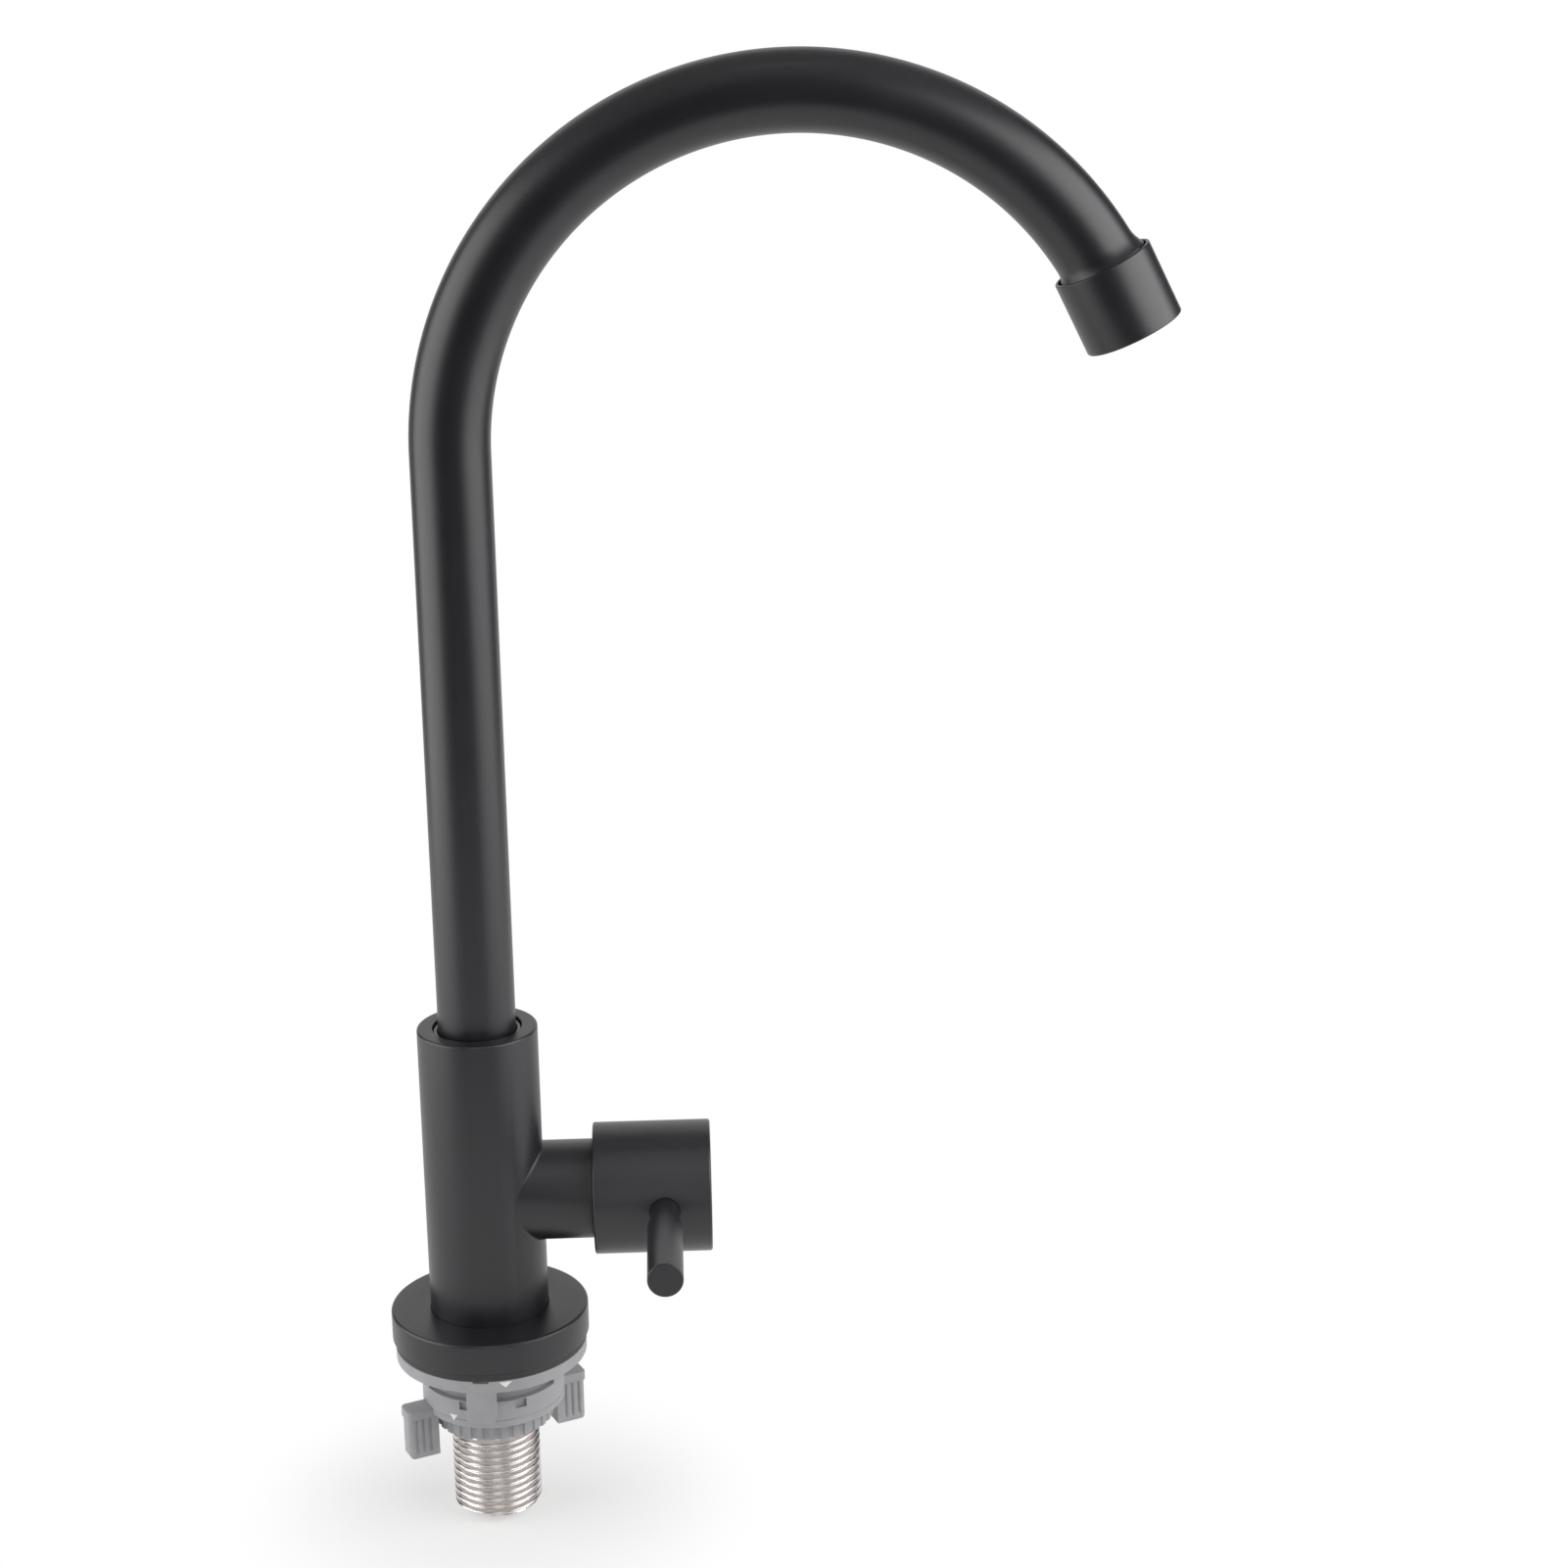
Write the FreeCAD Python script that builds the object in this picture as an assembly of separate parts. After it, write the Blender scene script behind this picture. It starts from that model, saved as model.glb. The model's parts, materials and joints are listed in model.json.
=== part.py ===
import FreeCAD, Part
import math
import os

# Single-lever kitchen tap with a swivelling gooseneck spout and a quick-fit fixing nut.
# Millimetres. The origin is on the vertical axis of the tap, at the worktop's surface, where
# the base gasket rests. +Z points up, +X towards the side branch and, at rest, the spout's
# outlet; the lever points along -Y.

Vec = FreeCAD.Vector

# Clearances between mating pieces
RUN_GAP = 0.05            # radial gap of a piece that turns in another
SEAT_GAP = 0.02           # radial gap of a piece that is pressed or screwed into another
THREAD_GAP = 0.12         # radial gap of the nut's collet on the thread's crests
CUT = 1.0                 # how far a cutting shape reaches past the face that it cuts

# Worktop seat
GASKET_THICK = 2.0
GASKET_RADIUS = 22.7
FLANGE_RADIUS = 23.3
FLANGE_THICK = 7.3
FLANGE_EDGE = 0.7         # rounding of the flange's upper edge
FLANGE_LIP = 0.35         # rounding of its lower edge
FLANGE_POCKET = 1.5       # depth of the pocket that the body stands in

# Body and side branch
BODY_RADIUS = 13.95
BODY_HEIGHT = 71.7        # from the floor of the flange's pocket
BODY_EDGE = 0.55
BRANCH_RADIUS = 11.6
BRANCH_REACH = 30.0       # end of the branch from the tap's axis
SADDLE_ROUND = 0.8        # hollow round that the solder leaves between column and branch

# Inlet side
THREAD_RADIUS = 10.4775   # crest radius of the half-inch pipe thread
SHANK_RELIEF = 0.2        # how much the shank is set in along the nut's travel
SHANK_BORE = 6.5
SHANK_DROP = 42.4         # how far the shank reaches below the worktop's surface
SHANK_OPEN = 20.0         # stretch at its lower end left for the hose nut
SHANK_CHAMFER = 0.9
SHANK_CLEAR = 16.1        # top of the shank below the branch's axis
SHANK_RING_RADIUS = 0.9   # section radius of the ring that seals the shank
INLET_BORE = 4.5
SEAT_BORE = 4.0
SEAT_FACE = 7.5           # valve seat's face from the tap's axis

# Spout socket in the body
SOCKET_RADIUS = 10.0
SOCKET_DEPTH = 30.0
SOCKET_RISE = 11.6        # floor of the socket above the branch's axis
BUSH_SEAT_RADIUS = 10.35
BUSH_SEAT_DEPTH = 9.5
BUSH_RECESS = 0.6         # how far the bush lies below the rim
BUSH_LENGTH = 7.2
BUSH_EDGE = 0.3
OUTLET_HOLE = 2.2
OUTLET_SPREAD = 3.2
OUTLET_OFFSET = 8.4
OUTLET_RISE = 7.6         # foot of the outlet holes above the branch's axis

# Spout
SPOUT_RADIUS = 9.0
SPOUT_WALL = 0.9
SPOUT_BEND = 76.5         # radius of the gooseneck's centre line
SPOUT_RISE = 133.8        # straight tube from the body's rim to the start of the bend
SPOUT_SWEEP = 154.0       # degrees of the bend
FLARE_BACK = 8.8          # where the tube starts to widen, before the end of the bend
FLARE_LENGTH = 3.6
FLARE_RADIUS = 10.2
FLARE_END = 1.7           # straight stretch past the end of the bend
FLARE_SECTIONS = 5

# Sleeve on the foot of the spout
SLEEVE_LIFT = 0.5         # gap under the sleeve in the socket
SLEEVE_LENGTH = 19.0
SLEEVE_BORE = 6.6
SLEEVE_CUP = 6.0          # how deep the tube sits in the sleeve
SEAL_SECTION = 0.85       # section radius of the spout's sealing rings
SEAL_GROOVE = 2.2         # width of their grooves
SEAL_STEPS = (2.7, 6.7)   # centres of the grooves above the sleeve's foot
KEEPER_STEP = 11.1        # centre of the keeper ring above the sleeve's foot
KEEPER_THICK = 2.0
KEEPER_DEPTH = 0.8        # how far the keeper reaches into the body
KEEPER_BITE = 0.9         # how far it reaches into the sleeve
KEEPER_OPENING = 40.0     # degrees left open in the split ring

# Aerator
COLLAR_RADIUS = 11.2
COLLAR_OVERLAP = 5.7      # how far the collar reaches back over the flared end
COLLAR_LENGTH = 17.0
COLLAR_GAP = 0.3          # radial gap between the collar and the flared end
COLLAR_EDGE = 0.3
COLLAR_LIP_BORE = 9.2
COLLAR_LIP = 1.2
WASHER_THICK = 1.5
WASHER_BORE = 7.0
CORE_RADIUS = 9.6
CORE_RIM = 1.2
CORE_BORE = 8.4
CORE_STEM = 2.4
CORE_STEP = 1.3           # thickness of the core's top web
CORE_JETS = 12
JET_RADIUS = 0.55
JET_CIRCLE = 6.3
SCREEN_THICK = 1.4
SCREEN_RECESS = 0.5       # screen's face above the collar's mouth
SCREEN_CELL = 1.0         # radius of a hexagonal cell
SCREEN_PITCH = 2.25
SCREEN_RIM = 0.6          # least solid rim outside the cells

# Valve cartridge, along the branch from the seat outwards
CHAMBER_RADIUS = 9.25
CARTRIDGE_BARREL = 8.0
CARTRIDGE_MOUTH = 9.3     # open end of the barrel from the tap's axis
CARTRIDGE_BORE = 6.6
CARTRIDGE_WALL = 19.6     # inner face of the wall that the spindle passes through
HEX_FLATS = 19.0
HEX_THICK = 3.6
WINDOW_WIDTH = 5.0
WINDOW_LENGTH = 2.4
CARTRIDGE_RING_SECTION = 0.75
CARTRIDGE_RING_PLACE = 18.8
CARTRIDGE_LAND = 1.0      # wall between the ring's groove and the barrel
SEAT_SEAL_THICK = 2.8
SEAT_SEAL_BORE = 4.2
DISC_FIXED_THICK = 3.0
DISC_MOVING_THICK = 2.6
DISC_PORT_INNER = 1.4
DISC_PORT_OUTER = 4.6
PORT_ANGLE = 76.0
SPINDLE_HEAD_THICK = 3.0
SPINDLE_RADIUS = 4.0
SPINDLE_RING_SECTION = 0.6
SPINDLE_RING_PLACE = 25.0
CLIP_THICK = 0.8
CLIP_RADIUS = 5.4
CLIP_BITE = 0.85
CLIP_OPENING = 80.0
SPLINE_LEAD = 0.3         # how far the spline starts before the knob's socket
SPLINE_END = 45.0
SPLINE_TEETH = 20
SPLINE_RADIUS = 3.9
SPLINE_DEPTH = 0.35
SPLINE_SPACE = 0.5        # room past the spindle's end in the knob

# Knob and lever
KNOB_RADIUS = 15.4
KNOB_START = 25.75
KNOB_END = 53.25
KNOB_EDGE = 0.6
KNOB_CUP_RADIUS = 13.6
KNOB_CUP_FLOOR = 35.1
LEVER_PLACE = 42.3        # lever's axis from the tap's axis
LEVER_RADIUS = 4.05
LEVER_NECK_RADIUS = 3.45
LEVER_NECK = 8.6          # bare length of the neck outside the knob
LEVER_REACH = 51.2        # lever's tip from the knob's axis
LEVER_CHAMFER = 0.35
LEVER_SOCKET = 4.6        # how deep the neck sits in the knob
LEVER_STUD_RADIUS = 2.5
LEVER_STUD = 4.4
STUD_SPACE = 0.3          # room past the stud's end
GRUB_RADIUS = 2.0
GRUB_LENGTH = 5.0
GRUB_HEX = 2.0            # across the flats of its socket

# Quick-fit nut under the worktop
PLATE_RADIUS = 22.6
PLATE_THICK = 3.0
PLATE_BORE = 11.0
PLATE_GAP = 0.1           # gap between gasket and plate at rest
CLAW_ANGLES = (-93.7, 86.3)
CLAW_WIDTH = 7.2
CLAW_THICK = 2.3
CLAW_DROP = 7.7           # how far a claw hangs below the plate
CLAW_CHAMFER = 1.2
NOTCH_WIDTH = 3.7
NOTCH_DEPTH = 0.8
NOTCH_HEIGHT = 0.5
SNAP_RADIUS = 13.2        # sleeve of the plate that snaps into the ring
SNAP_DROP = 4.4
SNAP_BEAD = 0.6
SNAP_BEAD_HEIGHT = 1.0
SNAP_CLEAR = 0.3
RING_RADIUS = 16.9
RING_NECK_RADIUS = 15.4
RING_TOP = 8.4            # ring's shoulder below the worktop's surface
RING_BOTTOM = 15.2
RING_EDGE = 0.5
RING_WALL_ANGLE = 29.0    # half the sweep of each side wall
WINDOW_ANGLES = (-64.5, -110.5, 115.5, 69.5)
RING_WINDOW_WIDTH = 2.8
RING_WINDOW_HEIGHT = 2.1
RING_WINDOW_DEPTH = 0.9
RING_WINDOW_DROP = 9.7
WING_ANGLE = 24.5
WING_REACH = 22.9
WING_ROOT = 14.9
WING_THICK = 5.5
WING_TOP = 13.3
WING_BOTTOM = 25.8
WING_SLAB = 2.4
WING_INSET = 0.3          # how far the ribbed part is set in below the slab
WING_EDGE = 1.3           # rounding of the outer corners seen from above
WING_CORNER = 1.3         # rounding of the blade's outer lower corner
FLUTE_COUNT = 3
FLUTE_PITCH = 1.7
FLUTE_RADIUS = 0.5
FLUTE_START = 17.35       # first flute from the nut's axis
FLUTE_STOP = 1.6          # centre of a flute's ball end above the blade's foot
COLLET_RADIUS = 13.5
COLLET_BOTTOM = 20.0
COLLET_RIBS = 30
COLLET_RIB_HEIGHT = 0.5
COLLET_RIB_WIDTH = 1.5
COLLET_SPIGOT = 12.6
COLLET_TOP = 9.6
COLLET_SLITS = 4
SLIT_WIDTH = 1.2
SLIT_END = 1.0            # closed stretch above each slit

# Levels that follow from the sizes above
FLANGE_BASE = GASKET_THICK
FLANGE_TOP = FLANGE_BASE + FLANGE_THICK
BODY_BASE = FLANGE_TOP - FLANGE_POCKET
BODY_TOP = BODY_BASE + BODY_HEIGHT
SOCKET_FLOOR = BODY_TOP - SOCKET_DEPTH
BRANCH_LEVEL = SOCKET_FLOOR - SOCKET_RISE
SHANK_TOP = BRANCH_LEVEL - SHANK_CLEAR
SLEEVE_FOOT = SOCKET_FLOOR + SLEEVE_LIFT
SLEEVE_RADIUS = SOCKET_RADIUS - RUN_GAP
TUBE_FOOT = SLEEVE_FOOT + SLEEVE_LENGTH - SLEEVE_CUP
BEND_LEVEL = BODY_TOP + SPOUT_RISE
BUSH_TOP = BODY_TOP - BUSH_RECESS
COLLAR_BORE = FLARE_RADIUS + COLLAR_GAP
MOUTH = COLLAR_LENGTH - COLLAR_OVERLAP
SCREEN_RADIUS = COLLAR_LIP_BORE - RUN_GAP
CORE_START = FLARE_END + WASHER_THICK
CORE_END = MOUTH - COLLAR_LIP
FIXED_DISC_START = SEAT_FACE + SEAT_SEAL_THICK
MOVING_DISC_START = FIXED_DISC_START + DISC_FIXED_THICK + SEAT_GAP
SPINDLE_START = MOVING_DISC_START + DISC_MOVING_THICK
CARTRIDGE_FACE = BRANCH_REACH + HEX_THICK
SPLINE_START = KNOB_CUP_FLOOR - SPLINE_LEAD
PLATE_TOP = -PLATE_GAP
PLATE_BASE = PLATE_TOP - PLATE_THICK
UP = Vec(0, 0, 1)
BRANCH_AXIS_POINT = Vec(0, 0, BRANCH_LEVEL)


def turn_about(shape, degrees, point=Vec(0, 0, 0), axis=UP):
    """A copy of the shape, turned about an axis."""
    copy = shape.copy()
    copy.rotate(point, axis, degrees)
    return copy


def rod(radius, start, end):
    """A cylinder on the vertical axis between two heights."""
    return Part.makeCylinder(radius, end - start, Vec(0, 0, start), UP)


def tube(outer, inner, start, end):
    """A ring on the vertical axis between two heights."""
    return rod(outer, start, end).cut(rod(inner, start, end))


def lathe(profile):
    """A turned piece on the vertical axis from a closed profile of radius and height."""
    points = [Vec(radius, 0, height) for radius, height in profile]
    face = Part.Face(Part.makePolygon(points + points[:1]))
    return face.revolve(Vec(0, 0, 0), UP, 360)


def seal_ring(centre_radius, section_radius, height):
    """A round-section sealing ring on the vertical axis."""
    return Part.makeTorus(centre_radius, section_radius, Vec(0, 0, height), UP)


def prism(points, height, base):
    """A straight prism over a closed outline of plane points."""
    corners = [Vec(x, y, base) for x, y in points]
    return Part.Face(Part.makePolygon(corners + corners[:1])).extrude(Vec(0, 0, height))


def hexagon(radius, turn=0.0):
    """The corners of a regular hexagon."""
    return [
        (radius * math.cos(math.radians(turn + 60 * i)), radius * math.sin(math.radians(turn + 60 * i)))
        for i in range(6)
    ]


def wedge(radius, start_angle, end_angle, base, top):
    """A sector of a cylinder on the vertical axis, for cutting and for side walls."""
    sector = Part.makeCylinder(radius, top - base, Vec(0, 0, base), UP, end_angle - start_angle)
    return turn_about(sector, start_angle)


def box_at(size_x, size_y, size_z, centre_x, centre_y, base):
    """A box given by its size, the centre of its footprint and its base."""
    corner = Vec(centre_x - size_x / 2, centre_y - size_y / 2, base)
    return Part.makeBox(size_x, size_y, size_z, corner)


def fillet_circles(shape, radius, picks):
    """Rounds the circular edges that match (height, circle radius) in picks."""
    edges = []
    for edge in shape.Edges:
        if not isinstance(edge.Curve, Part.Circle):
            continue
        for height, circle in picks:
            near = abs(edge.CenterOfMass.z - height) < 0.01
            if near and abs(edge.Curve.Radius - circle) < 0.01:
                edges.append(edge)
    return shape.makeFillet(radius, edges)


def to_branch(shape):
    """Lays a piece turned on the vertical axis along the branch, its height along +X."""
    laid = turn_about(shape, 90, Vec(0, 0, 0), Vec(0, 1, 0))
    laid.translate(BRANCH_AXIS_POINT)
    return laid


def bend_point(degrees):
    """The point of the gooseneck's centre line after so many degrees of the bend."""
    angle = math.radians(degrees)
    return Vec(SPOUT_BEND * (1 - math.cos(angle)), 0, BEND_LEVEL + SPOUT_BEND * math.sin(angle))


def bend_circle(degrees, radius):
    """A circle round the gooseneck's centre line after so many degrees of the bend."""
    angle = math.radians(degrees)
    return Part.makeCircle(radius, bend_point(degrees), Vec(math.sin(angle), 0, math.cos(angle)))


def to_outlet(shape):
    """Puts a piece turned on the vertical axis at the spout's end, its height along the flow."""
    placed = turn_about(shape, SPOUT_SWEEP, Vec(0, 0, 0), Vec(0, 1, 0))
    placed.translate(bend_point(SPOUT_SWEEP))
    return placed


def make_base_gasket():
    return tube(GASKET_RADIUS, THREAD_RADIUS + SEAT_GAP, 0, GASKET_THICK)


def make_base_flange():
    flange = tube(FLANGE_RADIUS, THREAD_RADIUS + SEAT_GAP, FLANGE_BASE, FLANGE_TOP)
    flange = flange.cut(rod(BODY_RADIUS + SEAT_GAP, BODY_BASE, FLANGE_TOP))
    flange = fillet_circles(flange, FLANGE_EDGE, [(FLANGE_TOP, FLANGE_RADIUS)])
    return fillet_circles(flange, FLANGE_LIP, [(FLANGE_BASE, FLANGE_RADIUS)])


def keeper_groove():
    """The groove in the body that the spout's split ring springs into."""
    middle = SLEEVE_FOOT + KEEPER_STEP
    half = KEEPER_THICK / 2 + RUN_GAP
    return rod(SOCKET_RADIUS + KEEPER_DEPTH, middle - half, middle + half)


def make_valve_body():
    column = rod(BODY_RADIUS, BODY_BASE, BODY_TOP)
    branch = to_branch(rod(BRANCH_RADIUS, 0, BRANCH_REACH))
    body = column.fuse(branch).removeSplitter()
    saddle = [edge for edge in body.Edges if edge.Curve.TypeId == "Part::GeomBSplineCurve"]
    body = body.makeFillet(SADDLE_ROUND, saddle)
    body = fillet_circles(body, BODY_EDGE, [(BODY_TOP, BODY_RADIUS)])
    cuts = [
        rod(SOCKET_RADIUS, SOCKET_FLOOR, BODY_TOP),
        rod(BUSH_SEAT_RADIUS, BODY_TOP - BUSH_SEAT_DEPTH, BODY_TOP),
        keeper_groove(),
        rod(THREAD_RADIUS, BODY_BASE, SHANK_TOP),
        rod(INLET_BORE, SHANK_TOP, BRANCH_LEVEL),
        to_branch(rod(SEAT_BORE, 0, SEAT_FACE)),
        to_branch(rod(CHAMBER_RADIUS, SEAT_FACE, BRANCH_REACH)),
    ]
    for side in (-1, 1):
        hole = rod(OUTLET_HOLE, BRANCH_LEVEL + OUTLET_RISE, SOCKET_FLOOR + CUT)
        hole.translate(Vec(OUTLET_OFFSET, side * OUTLET_SPREAD, 0))
        cuts.append(hole)
    return body.cut(cuts[0].multiFuse(cuts[1:]))


def make_threaded_shank():
    """The threaded tail: full crest radius at its open end and in the body, less between."""
    foot = -SHANK_DROP
    relief = THREAD_RADIUS - SHANK_RELIEF
    screwed = THREAD_RADIUS - SEAT_GAP
    groove = THREAD_RADIUS - 2 * SHANK_RING_RADIUS
    top = SHANK_TOP
    shoulder = top - 2 * SHANK_RING_RADIUS - SEAT_GAP
    profile = [
        (SHANK_BORE, foot),
        (THREAD_RADIUS - SHANK_CHAMFER, foot),
        (THREAD_RADIUS, foot + SHANK_CHAMFER),
        (THREAD_RADIUS, foot + SHANK_OPEN),
        (relief, foot + SHANK_OPEN),
        (relief, 0),
        (screwed, 0),
        (screwed, shoulder),
        (groove, shoulder),
        (groove, top),
        (SHANK_BORE, top),
    ]
    return lathe(profile)


def make_shank_o_ring():
    """The ring lies round the shank's top, against the end of the body's socket."""
    radius = THREAD_RADIUS - SHANK_RING_RADIUS
    return seal_ring(radius, SHANK_RING_RADIUS - SEAT_GAP, SHANK_TOP - SHANK_RING_RADIUS)


def bent_rod(radius, start, end):
    """A solid length of the gooseneck between two angles of the bend."""
    face = Part.Face(Part.Wire(bend_circle(start, radius)))
    return face.revolve(Vec(SPOUT_BEND, 0, BEND_LEVEL), Vec(0, 1, 0), end - start)


def gooseneck(inset):
    """The tube's outer form, or its bore where it is set in by the wall."""
    radius = SPOUT_RADIUS - inset
    widen = FLARE_RADIUS - SPOUT_RADIUS
    start = SPOUT_SWEEP - math.degrees(FLARE_BACK / SPOUT_BEND)
    turn = math.degrees(FLARE_LENGTH / SPOUT_BEND)
    circles = []
    for i in range(FLARE_SECTIONS + 1):
        share = i / FLARE_SECTIONS
        circles.append(Part.Wire(bend_circle(start + turn * share, radius + widen * share**2)))
    flare = Part.makeLoft(circles, True)
    land = bent_rod(radius + widen, start + turn, SPOUT_SWEEP)
    end = to_outlet(rod(radius + widen, 0, FLARE_END))
    straight = rod(radius, TUBE_FOOT, BEND_LEVEL)
    return straight.fuse([bent_rod(radius, 0, start), flare, land, end])


def make_spout_tube():
    """The gooseneck: straight tube, bend and flared end, all one wall."""
    return gooseneck(0).cut(gooseneck(SPOUT_WALL)).removeSplitter()


def make_spout_base_sleeve():
    """The brass foot of the spout: grooves for two seals and the keeper, a cup for the tube."""
    top = SLEEVE_FOOT + SLEEVE_LENGTH
    sleeve = tube(SLEEVE_RADIUS, SLEEVE_BORE, SLEEVE_FOOT, top)
    sleeve = sleeve.cut(rod(SPOUT_RADIUS + SEAT_GAP, TUBE_FOOT, top))
    floor = SLEEVE_RADIUS - 2 * SEAL_SECTION - RUN_GAP
    for step in SEAL_STEPS:
        middle = SLEEVE_FOOT + step
        half = SEAL_GROOVE / 2
        sleeve = sleeve.cut(tube(SLEEVE_RADIUS + CUT, floor, middle - half, middle + half))
    middle = SLEEVE_FOOT + KEEPER_STEP
    half = KEEPER_THICK / 2 + RUN_GAP
    bite = SLEEVE_RADIUS - KEEPER_BITE - RUN_GAP
    return sleeve.cut(tube(SLEEVE_RADIUS + CUT, bite, middle - half, middle + half))


def make_spout_seal(step):
    return seal_ring(SLEEVE_RADIUS - SEAL_SECTION, SEAL_SECTION, SLEEVE_FOOT + step)


def make_spout_keeper_ring():
    """The split ring that keeps the spout in the body and lets it turn."""
    middle = SLEEVE_FOOT + KEEPER_STEP
    outer = SOCKET_RADIUS + KEEPER_DEPTH - RUN_GAP
    inner = SLEEVE_RADIUS - KEEPER_BITE
    ring = tube(outer, inner, middle - KEEPER_THICK / 2, middle + KEEPER_THICK / 2)
    low = middle - KEEPER_THICK / 2 - CUT
    high = middle + KEEPER_THICK / 2 + CUT
    gap = wedge(outer + CUT, 180 - KEEPER_OPENING / 2, 180 + KEEPER_OPENING / 2, low, high)
    return ring.cut(gap)


def make_spout_top_bush():
    outer = BUSH_SEAT_RADIUS - SEAT_GAP
    inner = SPOUT_RADIUS + RUN_GAP
    bush = tube(outer, inner, BUSH_TOP - BUSH_LENGTH, BUSH_TOP)
    return fillet_circles(bush, BUSH_EDGE, [(BUSH_TOP, outer), (BUSH_TOP, inner)])


def make_aerator_collar():
    start = -COLLAR_OVERLAP
    profile = [
        (COLLAR_BORE, start),
        (COLLAR_RADIUS, start),
        (COLLAR_RADIUS, MOUTH),
        (COLLAR_LIP_BORE, MOUTH),
        (COLLAR_LIP_BORE, CORE_END),
        (COLLAR_BORE, CORE_END),
    ]
    collar = lathe(profile)
    rims = [(start, COLLAR_RADIUS), (MOUTH, COLLAR_RADIUS)]
    return to_outlet(fillet_circles(collar, COLLAR_EDGE, rims))


def make_aerator_washer():
    return to_outlet(tube(FLARE_RADIUS, WASHER_BORE, FLARE_END, CORE_START))


def make_aerator_core():
    """The plastic insert: a cup with a ring of jets in its top web and a centre post."""
    foot = MOUTH - SCREEN_RECESS - SCREEN_THICK
    cup = lathe(
        [
            (0, CORE_START),
            (FLARE_RADIUS, CORE_START),
            (FLARE_RADIUS, CORE_START + CORE_RIM),
            (CORE_RADIUS, CORE_START + CORE_RIM),
            (CORE_RADIUS, CORE_END - SEAT_GAP),
            (COLLAR_LIP_BORE - RUN_GAP, CORE_END - SEAT_GAP),
            (COLLAR_LIP_BORE - RUN_GAP, foot),
            (CORE_BORE, foot),
            (CORE_BORE, CORE_START + CORE_STEP),
            (CORE_STEM, CORE_START + CORE_STEP),
            (CORE_STEM, foot),
            (0, foot),
        ]
    )
    for i in range(CORE_JETS):
        jet = rod(JET_RADIUS, CORE_START - CUT, CORE_START + CORE_STEP + CUT)
        jet.translate(Vec(JET_CIRCLE, 0, 0))
        cup = cup.cut(turn_about(jet, 360 / CORE_JETS * i))
    return to_outlet(cup)


def make_aerator_screen():
    """The honeycomb grid across the mouth."""
    base = MOUTH - SCREEN_RECESS - SCREEN_THICK
    grid = rod(SCREEN_RADIUS, base, base + SCREEN_THICK)
    reach = SCREEN_RADIUS - SCREEN_CELL - SCREEN_RIM
    rows = int(reach / SCREEN_PITCH) + 1
    cells = []
    for row in range(-rows, rows + 1):
        for column in range(-rows - 1, rows + 2):
            x = SCREEN_PITCH * (column + 0.5 * (row % 2))
            y = SCREEN_PITCH * math.sqrt(3) / 2 * row
            if math.hypot(x, y) < reach:
                cell = prism(hexagon(SCREEN_CELL, 30), SCREEN_THICK + 2 * CUT, base - CUT)
                cell.translate(Vec(x, y, 0))
                cells.append(cell)
    return to_outlet(grid.cut(Part.makeCompound(cells)))


def make_cartridge_body():
    """The brass headwork that screws into the branch and carries the spindle."""
    groove = CHAMBER_RADIUS - SEAT_GAP - 2 * CARTRIDGE_RING_SECTION - SEAT_GAP
    ring_start = CARTRIDGE_RING_PLACE - CARTRIDGE_RING_SECTION - RUN_GAP
    ring_end = CARTRIDGE_RING_PLACE + CARTRIDGE_RING_SECTION + RUN_GAP
    shoulder = ring_start - CARTRIDGE_LAND
    shell = lathe(
        [
            (SPINDLE_RADIUS + RUN_GAP, CARTRIDGE_WALL),
            (CARTRIDGE_BORE, CARTRIDGE_WALL),
            (CARTRIDGE_BORE, CARTRIDGE_MOUTH),
            (CARTRIDGE_BARREL, CARTRIDGE_MOUTH),
            (CARTRIDGE_BARREL, shoulder),
            (CHAMBER_RADIUS - SEAT_GAP, shoulder),
            (CHAMBER_RADIUS - SEAT_GAP, ring_start),
            (groove, ring_start),
            (groove, ring_end),
            (CHAMBER_RADIUS - SEAT_GAP, ring_end),
            (CHAMBER_RADIUS - SEAT_GAP, BRANCH_REACH),
            (SPINDLE_RADIUS + RUN_GAP, BRANCH_REACH),
        ]
    )
    nut = prism(hexagon(HEX_FLATS / math.sqrt(3)), HEX_THICK, BRANCH_REACH)
    nut = nut.cut(rod(SPINDLE_RADIUS + RUN_GAP, BRANCH_REACH, CARTRIDGE_FACE))
    shell = shell.fuse(nut).removeSplitter()
    window = box_at(
        2 * (CARTRIDGE_BARREL + CUT), WINDOW_WIDTH, WINDOW_LENGTH, 0, 0, MOVING_DISC_START
    )
    return to_branch(shell.cut(window))


def make_cartridge_o_ring():
    radius = CHAMBER_RADIUS - SEAT_GAP - CARTRIDGE_RING_SECTION
    return to_branch(seal_ring(radius, CARTRIDGE_RING_SECTION, CARTRIDGE_RING_PLACE))


def make_seat_seal():
    return to_branch(tube(CARTRIDGE_BORE - RUN_GAP, SEAT_SEAL_BORE, SEAT_FACE, FIXED_DISC_START))


def make_disc(start, thick):
    """A ceramic disc with two opposite ports shaped as sectors."""
    disc = rod(CARTRIDGE_BORE - 2 * RUN_GAP, start, start + thick)
    for centre in (0, 180):
        half = PORT_ANGLE / 2
        port = wedge(DISC_PORT_OUTER, centre - half, centre + half, start - CUT, start + thick + CUT)
        disc = disc.cut(port.cut(rod(DISC_PORT_INNER, start - CUT, start + thick + CUT)))
    return disc


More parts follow.
